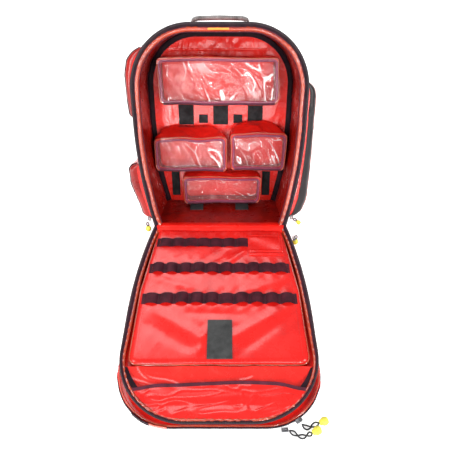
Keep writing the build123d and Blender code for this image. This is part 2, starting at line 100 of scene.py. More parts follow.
def outline(bottom=0.0, width=RIM_WIDTH, length=RIM_LENGTH, corner=CORNER_R, count=260):
    """The arched outline from the left hinge corner over the crown to the right one, and its
    inward normals; both (count, 2), evenly spaced."""
    half = width / 2
    left = [(-half_width(h, 0, width), h) for h in np.linspace(bottom, WIDEST_AT, 60)]
    left += [(-half, h) for h in np.linspace(WIDEST_AT, length - corner, 12)[1:]]
    for a in np.linspace(0, math.pi / 2, 50)[1:]:
        left.append((corner - half - corner * math.cos(a), length - corner + corner * math.sin(a)))
    left = np.array(left, float)
    line = np.vstack([left, np.array([(0.0, length)]), (left * [-1, 1])[::-1]])
    line = even(line, count)
    t = unit(np.gradient(line, axis=0))
    return line, np.stack([t[:, 1], -t[:, 0]], axis=1)


def distances(line):
    """How far along a line each of its points is."""
    return np.concatenate([[0], np.cumsum(np.linalg.norm(np.diff(line, axis=0), axis=1))])


def unit(v):
    """The same vector, or rows of vectors, with length one."""
    v = np.asarray(v, float)
    return v / np.linalg.norm(v, axis=-1, keepdims=True)


def even(line, count):
    """The same line with that many evenly spaced points."""
    line = np.asarray(line, float)
    along = distances(line)
    at = np.linspace(0, along[-1], count)
    return np.stack([np.interp(at, along, line[:, k]) for k in range(line.shape[1])], axis=1)


def rounded(points, count, rounds=3):
    """A given profile, with its corners softened and its points evenly spaced."""
    p = even(points, count)
    for _ in range(rounds):
        q = p.copy()
        q[1:-1] = (p[:-2] + 2 * p[1:-1] + p[2:]) / 4
        p = q
    return p


# ---- soft noise for fabric ----
def waves(p, seed, size, count=7):
    """Smooth noise of about unit size, with features of that size in millimetres."""
    rng = np.random.default_rng(seed)
    total = np.zeros(p.shape[:-1])
    for _ in range(count):
        k = rng.normal(size=3)
        k *= rng.uniform(0.6, 1.5) * 2 * math.pi / size / np.linalg.norm(k)
        total += np.sin(p @ k + rng.uniform(0, 2 * math.pi))
    return total / math.sqrt(count / 2)


def creases(p, seed, size, sharp=0.45):
    """Folds of glossy sheeting: broad swells with thin ridges where they meet."""
    shift = np.stack([waves(p, seed + 1 + i, size * 1.6) for i in range(3)], axis=-1) * size * 0.16
    broad = np.tanh(0.9 * waves(p + shift, seed + 11, size))
    ridge = 1 - 2 * np.minimum(1, np.abs(waves(p + shift, seed + 21, size * 0.7)) * 1.3)
    return (1 - sharp) * broad + sharp * ridge


def ease(x):
    x = np.clip(x, 0, 1)
    return x * x * (3 - 2 * x)


def hump(x, centre, width):
    """A smooth bump of height one."""
    return np.exp(-((np.asarray(x) - centre) / width) ** 2)


# ---- meshes ----
def own(obj, body, replaces=()):
    """Says which body a piece belongs to, and which CAD nodes it stands for."""
    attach(obj, body)
    if replaces:
        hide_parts(*replaces)
    return obj


def piece(name, verts, faces, mat, uv=None, smooth=35.0):
    """A mesh object from points in millimetres."""
    mesh = bpy.data.meshes.new(name)
    mesh.from_pydata((np.asarray(verts, float).reshape(-1, 3) * MM).tolist(), [], faces)
    mesh.validate()
    if uv is not None:
        layer = mesh.uv_layers.new(name="UVMap")
        index = np.zeros(len(mesh.loops), np.int32)
        mesh.loops.foreach_get("vertex_index", index)
        layer.data.foreach_set("uv", (np.asarray(uv, float)[index] * MM).ravel())
    bm = bmesh.new()
    bm.from_mesh(mesh)
    bmesh.ops.recalc_face_normals(bm, faces=bm.faces)
    bm.to_mesh(mesh)
    bm.free()
    mesh.polygons.foreach_set("use_smooth", [True] * len(mesh.polygons))
    if smooth:
        mesh.set_sharp_from_angle(angle=math.radians(smooth))
    obj = bpy.data.objects.new(name, mesh)
    bpy.context.scene.collection.objects.link(obj)
    mesh.materials.append(mat)
    return obj


def grid_faces(nu, nv, wrap_u=False, wrap_v=False, start=0):
    i, j = np.meshgrid(np.arange(nu if wrap_u else nu - 1), np.arange(nv if wrap_v else nv - 1),
            indexing="ij")
    i2, j2 = (i + 1) % nu, (j + 1) % nv
    return (np.stack([i * nv + j, i2 * nv + j, i2 * nv + j2, i * nv + j2], axis=-1).reshape(-1, 4)
            + start).tolist()


def tube_faces(n, m):
    """Faces of n rings of m points each, with both ends closed."""
    return (grid_faces(n, m, wrap_v=True) + [list(range(m))[::-1],
            [(n - 1) * m + j for j in range(m)]])


def sheet_faces(nu, nv):
    """Faces of a closed sheet: two grids of points and the edge that joins them."""
    n = nu * nv
    faces = grid_faces(nu, nv) + [f[::-1] for f in grid_faces(nu, nv, start=n)]
    edge = ([i * nv for i in range(nu)] + [(nu - 1) * nv + j for j in range(1, nv)]
            + [i * nv + nv - 1 for i in range(nu - 2, -1, -1)] + list(range(nv - 2, 0, -1)))
    return faces + [[a, b, b + n, a + n] for a, b in zip(edge, edge[1:] + edge[:1])]


def grid_normals(g):
    n = np.cross(np.gradient(g, axis=0), np.gradient(g, axis=1))
    return n / np.maximum(np.linalg.norm(n, axis=-1), 1e-9)[..., None]


def grid_uv(g):
    u = np.concatenate([np.zeros((1, g.shape[1])),
            np.cumsum(np.linalg.norm(np.diff(g, axis=0), axis=-1), axis=0)])
    v = np.concatenate([np.zeros((g.shape[0], 1)),
            np.cumsum(np.linalg.norm(np.diff(g, axis=1), axis=-1), axis=1)], axis=1)
    return np.stack([u, v], axis=-1).reshape(-1, 2)


def cloth_sheet(name, g, mat, thick=1.6, side=-1, smooth=50.0):
    """A closed thin sheet from a grid of points; the given points are one face of it."""
    other = g + grid_normals(g) * thick * side
    verts = np.concatenate([g.reshape(-1, 3), other.reshape(-1, 3)])
    return piece(name, verts, sheet_faces(*g.shape[:2]), mat, np.concatenate([grid_uv(g)] * 2),
                 smooth)


def sweep_data(path, across, section, closed=False):
    """Points and faces of a section carried along a path, with flat ends."""
    path, section = np.asarray(path, float), np.asarray(section, float)
    n = len(path)
    across = np.broadcast_to(np.asarray(across, float), path.shape)
    t = np.gradient(path, axis=0)
    if closed:
        t = np.roll(path, -1, axis=0) - np.roll(path, 1, axis=0)
    t = unit(t)
    a = unit(across - (across * t).sum(1)[:, None] * t)
    up = np.cross(t, a)
    if section.ndim == 2:
        section = np.broadcast_to(section, (n,) + section.shape)
    m = section.shape[1]
    verts = path[:, None] + section[..., :1] * a[:, None] + section[..., 1:] * up[:, None]
    faces = grid_faces(n, m, wrap_u=True, wrap_v=True) if closed else tube_faces(n, m)
    uv = np.stack(np.broadcast_arrays(distances(path)[:, None], section[..., 0]), axis=-1)
    return verts.reshape(-1, 3), faces, uv.reshape(-1, 2)


def sweep(name, path, across, section, mat, closed=False, smooth=40.0):
    v, f, uv = sweep_data(path, across, section, closed)
    return piece(name, v, f, mat, uv, smooth)


def several(name, parts, mat, smooth=40.0):
    """One piece from several sets of points, faces and, where there are any, texture places."""
    verts, faces, uvs, start = [], [], [], 0
    for part in parts:
        v, f = part[:2]
        v = np.asarray(v).reshape(-1, 3)
        verts.append(v)
        uvs.append(part[2] if len(part) > 2 else v[:, :2])
        faces += [[i + start for i in face] for face in f]
        start += len(v)
    return piece(name, np.concatenate(verts), faces, mat, np.concatenate(uvs), smooth)


def disc(radius, count=14, squash=1.0):
    a = np.linspace(0, 2 * math.pi, count, endpoint=False)
    return np.stack([radius * np.cos(a), radius * squash * np.sin(a)], axis=1)


def slab(width, thick, edge=0.45):
    """Section of webbing or tape: flat, with soft edges."""
    w, h = width / 2, thick / 2
    e = min(edge * thick, h)
    side = [(w, -h + e), (w, h - e), (w - e, h), (w * 0.5, h), (0, h), (-w * 0.5, h), (-w + e, h)]
    return np.array(side + [(-x, -y) for x, y in side], float)


def lathe_data(origin, direction, profile, count=28):
    """A turned shape: profile is radius and distance along the direction."""
    d = np.asarray(direction, float) / np.linalg.norm(direction)
    a = np.cross(d, [0, 0, 1.0] if abs(d[2]) < 0.9 else [1.0, 0, 0])
    a /= np.linalg.norm(a)
    b = np.cross(d, a)
    ang = np.linspace(0, 2 * math.pi, count, endpoint=False)
    ring = np.cos(ang)[:, None] * a + np.sin(ang)[:, None] * b
    profile = np.asarray(profile, float)
    verts = np.asarray(origin) + profile[:, None, 1:] * d + profile[:, None, :1] * ring
    return verts.reshape(-1, 3), tube_faces(len(profile), count)


def block_data(centre, axes, size, bevel, segments=3):
    """A box with rounded edges, in a frame of its own."""
    bm = bmesh.new()
    bmesh.ops.create_cube(bm, size=1.0)
    for v in bm.verts:
        v.co = Vector((v.co.x * size[0], v.co.y * size[1], v.co.z * size[2]))
    bmesh.ops.bevel(bm, geom=bm.edges[:], offset=bevel, segments=segments, profile=0.5,
                    affect="EDGES")
    bm.verts.ensure_lookup_table()
    verts = np.array([v.co for v in bm.verts])
    faces = [[v.index for v in f.verts] for f in bm.faces]
    bm.free()
    axes = np.array(axes, float)
    return np.asarray(centre) + verts @ axes, faces


def sewn(name, parts, body, mat=None):
    """A piece made of stitches; black thread unless a material is given."""
    return own(several(name, parts, mat or thread), body)


def stitch_parts(line, normal, pitch=4.2, length=2.8, radius=0.35, rise=0.15):
    """Thread stitches along a line, as small six-sided capsules."""
    line = np.asarray(line, float)
    total = np.linalg.norm(np.diff(line, axis=0), axis=1).sum()
    count = max(2, int(total / pitch))
    fine = even(line, count * 2 + 1)
    normal = np.broadcast_to(np.asarray(normal, float), line.shape)
    normals = even(normal, count * 2 + 1)
    parts = []
    for k in range(count):
        mid, d = fine[2 * k + 1], fine[2 * k + 2] - fine[2 * k]
        n = normals[2 * k + 1]
        d = d / np.linalg.norm(d) * length / 2
        path = np.array([mid - d, mid - d * 0.8 + n * rise, mid + d * 0.8 + n * rise, mid + d])
        parts.append(sweep_data(path, n, disc(radius, 6)))
    return parts


# ---- materials ----
def material(name, colour, rough, metal=0.0, coat=0.0, coat_rough=0.1, sheen=0.0, spec=0.5,
             glass=0.0, ior=1.5):
    m = bpy.data.materials.new(name)
    m.use_nodes = True
    b = m.node_tree.nodes["Principled BSDF"]
    for key, value in (("Base Color", (*colour, 1)), ("Roughness", rough), ("Metallic", metal),
            ("IOR", ior),
                       ("Coat Weight", coat), ("Coat Roughness", coat_rough),
                       ("Sheen Weight", sheen),
                       ("Specular IOR Level", spec), ("Transmission Weight", glass)):
        b.inputs[key].default_value = value
    m.diffuse_color = (*colour, 1)
    return m, m.node_tree, b


def node(nt, kind, **values):
    n = nt.nodes.new(kind)
    for k, v in values.items():
        if k in n.inputs:
            n.inputs[k].default_value = v
        else:
            setattr(n, k, v)
    return n


def coords(nt, where, scale, turn=0.0):
    """Texture places in metres, divided by a size in millimetres."""
    tex = node(nt, "ShaderNodeTexCoord")
    m = node(nt, "ShaderNodeMapping")
    s = 1.0 / (scale * MM) if np.isscalar(scale) else [1.0 / (q * MM) for q in scale]
    m.inputs["Scale"].default_value = (s, s, s) if np.isscalar(s) else tuple(s)
    m.inputs["Rotation"].default_value = (0, 0, turn)
    nt.links.new(tex.outputs[where], m.inputs["Vector"])
    return m.outputs["Vector"]


def noise(nt, scale, detail=3.0, rough=0.5, where="Object"):
    n = node(nt, "ShaderNodeTexNoise", Scale=1.0, Detail=detail, Roughness=rough)
    nt.links.new(coords(nt, where, scale), n.inputs["Vector"])
    return n.outputs["Fac"]


def ramp(nt, fac, stops):
    """Maps a value to colours or greys: stops are (place, value or colour)."""
    r = node(nt, "ShaderNodeValToRGB")
    while len(r.color_ramp.elements) < len(stops):
        r.color_ramp.elements.new(0.5)
    for e, (at, value) in zip(r.color_ramp.elements, stops):
        e.position = at
        e.color = (value, value, value, 1) if np.isscalar(value) else (*value, 1)
    nt.links.new(fac, r.inputs["Fac"])
    return r.outputs["Color"]


def math_node(nt, how, a, b):
    n = node(nt, "ShaderNodeMath", operation=how)
    for socket, value in zip(n.inputs, (a, b)):
        if np.isscalar(value):
            socket.default_value = value
        else:
            nt.links.new(value, socket)
    return n.outputs[0]


def weave(nt, pitch, where="UV", both=True, turn=0.0):
    """Threads: rounded ribs one way, or both ways crossing over and under."""
    v = coords(nt, where, pitch, turn)
    sep = node(nt, "ShaderNodeSeparateXYZ")
    nt.links.new(v, sep.inputs[0])
    out = []
    for axis in ("X", "Y")[: 2 if both else 1]:
        s = math_node(nt, "SINE", math_node(nt, "MULTIPLY", sep.outputs[axis], 2 * math.pi), 0.0)
        out.append(math_node(nt, "MULTIPLY_ADD", s, 0.5))
        out[-1].node.inputs[2].default_value = 0.5
    return math_node(nt, "MAXIMUM", out[0], out[1]) if both else out[0]


def bump(nt, b, *layers):
    """Bump from several heights: each is (height output, depth in millimetres)."""
    last = None
    for height, depth in layers:
        n = node(nt, "ShaderNodeBump", Strength=1.0, Distance=depth * MM)
        nt.links.new(height, n.inputs["Height"])
        if last:
            nt.links.new(last, n.inputs["Normal"])
        last = n.outputs["Normal"]
    nt.links.new(last, b.inputs["Normal"])


def worn(nt, b, dark, light, size, low, high, where="Object"):
    """Colour that drifts between two shades, and roughness that follows it."""
    f = noise(nt, size, 4.0, 0.55, where)
    nt.links.new(ramp(nt, f, [(0.3, dark), (0.7, light)]), b.inputs["Base Color"])
    nt.links.new(ramp(nt, noise(nt, size * 0.4, 3.0, 0.6, where), [(0.3, low), (0.7, high)]),
                 b.inputs["Roughness"])


def tarpaulin(name, dark, light, low=0.2, high=0.32, coat=0.22, spec=0.34):
    """PVC-coated fabric: glossy, with the woven scrim showing faintly through the coat."""
    m, nt, b = material(name, light, 0.2, coat=coat, coat_rough=0.09, spec=spec)
    worn(nt, b, dark, light, 60, low, high)
    bump(nt, b, (noise(nt, 38, 1.5, 0.4), 0.45), (weave(nt, 1.1), 0.008), (noise(nt, 5, 1.0), 0.03))
    return m


def textile(name, dark, light, pitch, depth, rough=0.8, sheen=0.06, spec=0.25, where="UV",
            both=False, turn=0.0):
    """Webbing, tape, binding or cloth: ribs across it, soft sheen and lint."""
    m, nt, b = material(name, light, rough, sheen=sheen, spec=spec)
    b.inputs["Sheen Roughness"].default_value = 0.45
    worn(nt, b, dark, light, 18, rough - 0.12, min(1.0, rough + 0.1))
    bump(nt, b, (weave(nt, pitch, where, both, turn), depth), (noise(nt, 1.2, 2.0), 0.06))
    return m


def moulded(name, dark, light, low, high, grain=0.05, coat=0.0):
    """Moulded plastic or rubber with fine grain."""
    m, nt, b = material(name, light, low, coat=coat, coat_rough=0.2)
    worn(nt, b, dark, light, 12, low, high)
    bump(nt, b, (noise(nt, 0.8, 2.0), grain))
    return m


def metal(name, colour, rough):
    m, nt, b = material(name, colour, rough, metal=1.0)
    worn(nt, b, [0.8 * c for c in colour], colour, 6, rough, rough + 0.18)
    bump(nt, b, (noise(nt, (0.4, 8, 0.4), 2.0), 0.02))
    return m


RED_DARK, RED = (0.56, 0.010, 0.007), (0.76, 0.018, 0.012)
red = tarpaulin("red_tarpaulin", RED_DARK, RED)
red_inside = tarpaulin("red_lining", (0.56, 0.006, 0.003), (0.80, 0.012, 0.006), 0.26, 0.4,
        coat=0.08, spec=0.2)
red_facing = tarpaulin("red_facing", (0.22, 0.019, 0.007), (0.42, 0.055, 0.022), 0.12, 0.2,
        coat=0.8)
red_gloss = tarpaulin("red_gloss", (0.50, 0.009, 0.006), (0.70, 0.018, 0.012), 0.12, 0.22, coat=0.7)
red_panel = tarpaulin("red_panel_cover", (0.43, 0.005, 0.004), (0.60, 0.010, 0.007), 0.22, 0.33,
        coat=0.14, spec=0.32)
red_back = tarpaulin("red_back_lining", (0.70, 0.010, 0.006), (0.92, 0.020, 0.010), 0.2, 0.32,
        coat=0.2, spec=0.3)
# darkened copy of the red tarpaulin: painted shade for the compartment's side walls and floor and the
# left pockets' faces
red_shaded = tarpaulin("red_painted_shade", (0.15, 0.003, 0.002), (0.34, 0.008, 0.004), 0.24, 0.38,
        coat=0.12, spec=0.25)
black_tarp = tarpaulin("black_tarpaulin", (0.007, 0.004, 0.005), (0.018, 0.012, 0.014), 0.34, 0.5,
        coat=0.1, spec=0.25)
# near-black sheet: painted shade for the insides of the pouches' side walls
painted_shade_lining = tarpaulin("painted_shade_lining", (0.030, 0.006, 0.010), (0.075, 0.014, 0.022), 0.3, 0.45,
        coat=0.1, spec=0.25)
tape = textile("black_tape", (0.008, 0.002, 0.005), (0.022, 0.006, 0.011), 1.0, 0.10, rough=0.62,
               sheen=0.0, spec=0.12, both=True)
# black tape with a plum tint: the tint is painted reflection of red light from the fabric around it
tape_painted_red_reflection = textile("tape_painted_red_reflection", (0.016, 0.002, 0.008), (0.038, 0.007, 0.017), 1.0, 0.10, rough=0.6,
        sheen=0.0, spec=0.14, both=True)
binding = textile("plum_binding", (0.040, 0.003, 0.010), (0.090, 0.008, 0.026), 1.1, 0.10,
        rough=0.6)
web = textile("black_webbing", (0.008, 0.008, 0.009), (0.026, 0.025, 0.027), 2.4, 0.28, rough=0.66)
elastic = textile("elastic_webbing", (0.020, 0.002, 0.006), (0.062, 0.008, 0.016), 1.6, 0.24,
        rough=0.55, sheen=0.02, spec=0.16)
grip = textile("grip_webbing", (0.09, 0.095, 0.092), (0.32, 0.33, 0.325), 3.4, 0.5, rough=0.6)
fuzzy = textile("loop_pile", (0.008, 0.008, 0.009), (0.030, 0.030, 0.032), 0.9, 0.25, rough=0.95,
                sheen=0.15, both=True)
patch_pile = textile("patch_pile", (0.020, 0.021, 0.021), (0.045, 0.046, 0.046), 0.9, 0.25,
        rough=0.9, sheen=0.15, both=True)
padding = textile("padded_mesh", (0.018, 0.018, 0.019), (0.052, 0.051, 0.053), 3.0, 0.7, rough=0.85,
                  where="Object", both=True, turn=0.78)
boot = tarpaulin("boot_fabric", (0.008, 0.008, 0.009), (0.020, 0.020, 0.021), 0.42, 0.6, coat=0.05)
plastic = moulded("black_acetal", (0.010, 0.010, 0.011), (0.024, 0.024, 0.025), 0.32, 0.48)
coil = moulded("zip_coil", (0.008, 0.004, 0.006), (0.026, 0.014, 0.019), 0.48, 0.6, grain=0.02)
yellow = moulded("yellow_rubber", (0.50, 0.46, 0.035), (0.66, 0.62, 0.07), 0.42, 0.58, grain=0.04)
gunmetal = metal("zip_metal", (0.16, 0.16, 0.17), 0.3)
alu = metal("stay_aluminium", (0.72, 0.73, 0.74), 0.32)
sheet_plastic = moulded("frame_plastic", (0.02, 0.02, 0.022), (0.05, 0.05, 0.052), 0.4, 0.55)
thread = textile("black_thread", (0.008, 0.008, 0.008), (0.020, 0.019, 0.020), 0.5, 0.05, rough=0.7,
        where="Object")
red_thread = textile("red_thread", (0.35, 0.02, 0.02), (0.55, 0.04, 0.03), 0.5, 0.05, rough=0.6,
        where="Object")
cord_mat = textile("pull_cord_braid", (0.008, 0.008, 0.009), (0.030, 0.030, 0.032), 0.9, 0.14,
        rough=0.55, both=True)
label = moulded("label_orange", (0.60, 0.20, 0.012), (0.72, 0.27, 0.02), 0.35, 0.5, grain=0.02)

vinyl, _nt, _b = material("clear_vinyl", (0.88, 0.30, 0.30), 0.10, ior=1.5, spec=0.9, coat=1.0,
        coat_rough=0.07)
# The mask from the film's creases paints it whiter and more opaque there: painted highlights standing
# for the glare on the creased film.
glare_crinkled = node(_nt, "ShaderNodeAttribute", attribute_name="glare_crinkle").outputs["Fac"]
_nt.links.new(ramp(_nt, glare_crinkled, [(0.0, (0.80, 0.24, 0.24)), (0.6, (1.0, 0.88, 0.87))]),
              _b.inputs["Base Color"])
_nt.links.new(ramp(_nt, glare_crinkled, [(0.0, 0.10), (0.35, 0.30), (1.0, 0.80)]), _b.inputs["Alpha"])
bump(_nt, _b, (noise(_nt, 44, 1.0, 0.3), 0.25))
clear_binding, _nt, _b = material("vinyl_binding", (0.26, 0.05, 0.11), 0.22, glass=0.3, ior=1.46,
        coat=0.6)
bump(_nt, _b, (weave(_nt, 1.2), 0.05), (noise(_nt, 3, 2.0), 0.08))

# ---- camera, light and floor ----
PITCH = math.radians(41.9)
DISTANCE = 991.0
look_up = np.array([0, math.sin(PITCH), math.cos(PITCH)])
eye = (HINGE + DISTANCE * np.array([0, -math.cos(PITCH), math.sin(PITCH)]) + [11.6, 0, 0] + 1.5
       * look_up)
cam_data = bpy.data.cameras.new("camera")
cam_data.lens, cam_data.sensor_width = 32.0, 36.0
cam_data.clip_start, cam_data.clip_end = 0.02, 60.0
camera = bpy.data.objects.new("camera", cam_data)
bpy.context.scene.collection.objects.link(camera)
camera.location = (eye * MM).tolist()
camera.rotation_euler = (math.pi / 2 - PITCH, 0, 0)
bpy.context.scene.camera = camera
bpy.context.scene.view_settings.view_transform = "Standard"


def softbox(name, position, target, size, power):
    """A large rectangular light aimed at a point; metres."""
    data = bpy.data.lights.new(name, "AREA")
    data.shape, data.size, data.size_y, data.energy = "RECTANGLE", size[0], size[1], power
    obj = bpy.data.objects.new(name, data)
    bpy.context.scene.collection.objects.link(obj)
    obj.location = position
    aim = Vector(target) - Vector(position)
    obj.rotation_euler = aim.to_track_quat("-Z", "Y").to_euler()


softbox("key_overhead", (-0.35, 0.55, 1.9), (0, -0.2, 0.1), (1.3, 0.8), 21)
softbox("front_left", (-1.5, -1.6, 1.3), (0, 0, 0.2), (0.45, 1.2), 34)
softbox("front_right", (1.5, -1.4, 1.2), (0, 0, 0.2), (0.4, 1.1), 28)
softbox("front_low", (0.2, -2.3, 0.9), (0, 0, 0.25), (1.6, 0.45), 20)
softbox("strip_left", (-0.45, -2.1, 0.42), (0, 0, 0.28), (0.06, 0.8), 8.0)
softbox("strip_right", (0.62, -2.1, 0.5), (0, 0, 0.28), (0.06, 0.8), 8.5)
softbox("low_left", (-1.35, -0.9, 0.28), (-0.2, -0.58, 0.05), (0.6, 0.3), 6)
softbox("behind", (0.6, 2.2, 1.4), (0, 0.1, 0.2), (1.2, 1.0), 26)
world = bpy.data.worlds.new("studio")
bpy.context.scene.world = world
world.use_nodes = True
world.node_tree.nodes["Background"].inputs["Color"].default_value = (1, 1, 1, 1)
world.node_tree.nodes["Background"].inputs["Strength"].default_value = 0.5

floor_mat, floor_nt, floor_bsdf = material("floor_paper", (0.93, 0.93, 0.93), 0.9)
floor_bsdf.inputs["Emission Color"].default_value = (1, 1, 1, 1)
floor_bsdf.inputs["Emission Strength"].default_value = 0.45
bump(floor_nt, floor_bsdf, (noise(floor_nt, 4, 2.0), 0.01))
floor = piece("floor", [(-9000, -9000, 0), (9000, -9000, 0), (9000, 9000, 0), (-9000, 9000, 0)],
              [(0, 1, 2, 3)], floor_mat)

# ---- the two pulls that lie on the floor: doubled cords with moulded ends ----
PULLS = {
    "a": ((149.2, -443.0, 4.0), (153.8, -448.0, 2.8), (162.0, -448.4, 2.7),
          (170.5, -444.2, 4.6), (179.5, -442.0, 7.2)),
    "b": ((124.8, -454.0, 4.0), (131.5, -456.8, 2.8), (139.0, -462.4, 2.7),
          (148.5, -463.8, 2.7), (157.0, -461.2, 4.6), (164.5, -458.8, 7.2)),
}
STRAND_R = 1.5
END_PROFILE = [(0.6, 0.0), (3.4, 0.2), (4.6, 1.2), (5.0, 2.6), (4.6, 3.6), (5.6, 4.6), (6.8, 6.4),
               (7.0, 9.0), (6.9, 12.0), (6.4, 14.4), (5.2, 16.1), (3.2, 16.9), (0.6, 17.0)]
RIDGE_PROFILE = [(6.0, 0), (7.35, 0.15), (7.5, 0.5), (7.35, 0.85), (6.0, 1.0)]
RIDGES_AT = (7.2, 9.2, 11.2)


def nurbs_line(points):
    """The smooth line through a route's control points, in millimetres."""
    curve = bpy.data.curves.new("route", "CURVE")
    curve.dimensions = "3D"
    curve.resolution_u = 24
    spline = curve.splines.new("NURBS")
    spline.points.add(len(points) - 1)
    for point, (x, y, z) in zip(spline.points, points):
        point.co = (x * MM, (y + HINGE_Y) * MM, z * MM, 1)
    spline.order_u = 3
    spline.use_endpoint_u = True
    holder = bpy.data.objects.new("route", curve)
    mesh = bpy.data.meshes.new_from_object(holder)
    line = np.array([v.co for v in mesh.vertices]) / MM
    bpy.data.objects.remove(holder)
    bpy.data.meshes.remove(mesh)
    bpy.data.curves.remove(curve)
    return line


def moulded_end(name, start, direction, body, node_name=None, scale=1.0):
    """A moulded end with grip ridges and a rounded tip."""
    start, d = np.asarray(start, float), unit(direction)
    parts = [lathe_data(start, d, np.array(END_PROFILE) * scale)]
    parts += [lathe_data(start + d * (at - 0.5) * scale, d, np.array(RIDGE_PROFILE) * scale)
              for at in RIDGES_AT]
    return own(several(name, parts, yellow), body,
               (node_name,) if node_name else ())


for key, route in PULLS.items():
    line = even(nurbs_line(route), 90)
    along = np.linspace(0, 1, len(line))
    tangent = np.gradient(line, axis=0)
    side = unit(np.cross(tangent, UPRIGHT))
    spread_out = (3.5 * np.sin(2 * math.pi * along * (1.0 if key == "a" else 1.35))
                  * (1 - ease((along - 0.9) * 10)))
    lift = 0.5 * np.cos(2 * math.pi * along)[:, None] * UPRIGHT
    strands = []
    for sign in (-1, 1):
        path = line + sign * spread_out[:, None] * side + sign * lift
        path[:, 2] = np.maximum(path[:, 2], STRAND_R + 0.15)
        strands.append(sweep_data(path, side, disc(STRAND_R, 10)))
    cord_obj = several(f"pull_cord_{key}", strands, cord_mat)
    own(cord_obj, f"pull_{key}", (f"pocket_pull_cord_{key}",))
    end_obj = moulded_end(f"pull_end_{key}", line[-1], line[-1] - line[-2], f"pull_{key}",
            f"pocket_pull_end_{key}")

# ---- shells: rings that follow the rim ----
OUT, OUT_N = outline(bottom=-3.0)
COUNT = len(OUT)
POINT_GAP = 4.9            # between neighbouring points of the outline


def ring_points(where, insets, depths):
    """Points at those insets and depths, all along the rim: (count, m, 3)."""
    insets, depths = (np.broadcast_to(np.asarray(v, float), (COUNT, np.shape(v)[-1]))
            for v in (insets, depths))
    if where is lid:
        far = ease((OUT[:, 1:] - 230) / 130)
        insets = insets - 5.0 * far * np.clip(insets / 9, 0, 1)
        depths = np.where(depths > 3, 3 + (depths - 3) * (1 - 0.5 * far), depths)
    q = OUT[:, None, :] + OUT_N[:, None, :] * insets[..., None]
    return where(q[..., 0], q[..., 1], depths)


def ring_inward(where):
    up = UP_BACK if where is back else OUT_LID
    return OUT_N[:, :1] * ACROSS + OUT_N[:, 1:] * up


def ring_piece(name, where, profile, mat, wobble=None, smooth=50.0):
    """A closed profile of inset and depth carried along the rim. The wobble, if any, is added
    to the points; it takes them and the profile."""
    profile = np.asarray(profile, float)
    g = ring_points(where, profile[:, 0], profile[:, 1])
    if wobble is not None:
        g = g + wobble(g, profile)
    uv = np.stack(np.broadcast_arrays(distances(OUT)[:, None], distances(profile)[None, :]),
                  axis=-1)
    return piece(name, g.reshape(-1, 3), tube_faces(COUNT, len(profile)), mat, uv.reshape(-1, 2),
                 smooth)


TEETH = 430


def zip_and_facing(where, half, body, node_name):
    """Zip tape, its coil, the padded facing inside it and their seams, for one half."""
    tape_profile = [(9.6, 3.4), (8.6, 1.6), (6.2, 0.9), (3.4, 0.8), (1.4, 1.1), (0.2, 2.6),
                    (0.1, 5.5), (0.4, 9.5), (1.2, 12.5), (2.8, 13.0), (3.2, 8.5), (4.2, 5.2),
                    (7.4, 4.8)]
    # the lid's zip tape is the plum-tinted copy: painted reflection of red light
    tape_obj = ring_piece(f"zip_tape_{half}", where, tape_profile,
            tape if where is back else tape_painted_red_reflection)
    own(tape_obj, body, (node_name,))
    teeth = []
    line = even(ring_points(where, [3.1], [0.75])[:, 0], TEETH)
    inward, tangent = unit(even(ring_inward(where), TEETH)), unit(np.gradient(line, axis=0))
    for k in range(2, TEETH - 2):
        n, t = inward[k], tangent[k]
        teeth.append(block_data(line[k], (t, n, np.cross(t, n)), (1.9, 4.2, 1.3), 0.5, 1))
    own(several(f"zip_coil_{half}", teeth, coil), body)

    def pucker(g, profile):
        lift = np.clip((profile[:, 1].max() - profile[:, 1]) / 8.0, 0, 1)
        along = np.arange(COUNT)[:, None] * POINT_GAP
        beads = 0.8 * np.sin(along / 15.0 * 2 * math.pi + 1.3 * waves(g, 40, 120))
        out = INTO_BACK if where is back else INTO_LID
        return (lift * (beads + 0.9 * waves(g, 41, 70)))[..., None] * out

    facing = [(8.8, 4.2), (9.6, 2.6), (12.0, 1.5), (15.0, 1.7), (17.2, 3.4), (18.2, 6.4),
              (17.6, 10.0), (15.0, 12.6), (9.0, 13.0)]
    if where is lid:
        facing = [(8.8, 4.2), (9.4, 2.8), (11.0, 2.0), (13.0, 2.3), (14.4, 4.0), (14.8, 7.0),
                  (13.4, 9.6), (9.0, 9.8)]
    own(ring_piece(f"rim_facing_{half}", where, facing, red_facing, pucker), body)
    seam = [(9.1, 2.7), (9.9, 2.0), (10.8, 2.2), (10.9, 3.0), (9.8, 3.4)]
    own(ring_piece(f"rim_seam_{half}", where, seam, binding), body)
    if where is back:
        a = np.linspace(0, 2 * math.pi, 9)[:-1]
        inner_seam = np.stack([17.6 + 1.9 * np.cos(a), 10.6 + 2.2 * np.sin(a)], axis=1)
        own(ring_piece("rim_inner_seam", where, inner_seam, binding), body)
    edge = even(ring_points(where, [7.6], [1.15])[:, 0], 300)
    out = -(INTO_BACK if where is back else INTO_LID)
    own(several(f"rim_stitches_{half}", stitch_parts(edge, out, 5.0, 3.2, 0.3, 0.12), thread), body)


zip_and_facing(back, "back", "back_half", "main_zip_back")
zip_and_facing(lid, "lid", "lid", "main_zip_lid")


def gusset_wobble(g, profile):
    """Wrinkles across the side wall, none at its seams."""
    free = ease((profile[:, 1] - 22) / 30) * ease((196 - profile[:, 1]) / 25)
    inner = profile[:, 0] > 5
    amount = np.where(inner, 1.5, 1.1) * free
    return (amount * creases(g, 61, 75, 0.4))[..., None] * ring_inward(back)[:, None, :]


wall = [(3.0, d) for d in np.linspace(206, 14, 34)] + [(4.5, 11.0), (8.5, 11.0)]
wall += [(7.4, d) for d in np.linspace(14, 190, 34)] + [(7.2, 200.0)]
own(ring_piece("side_wall", back, wall, red_inside, gusset_wobble), "back_half",
    ("gusset_wall",))

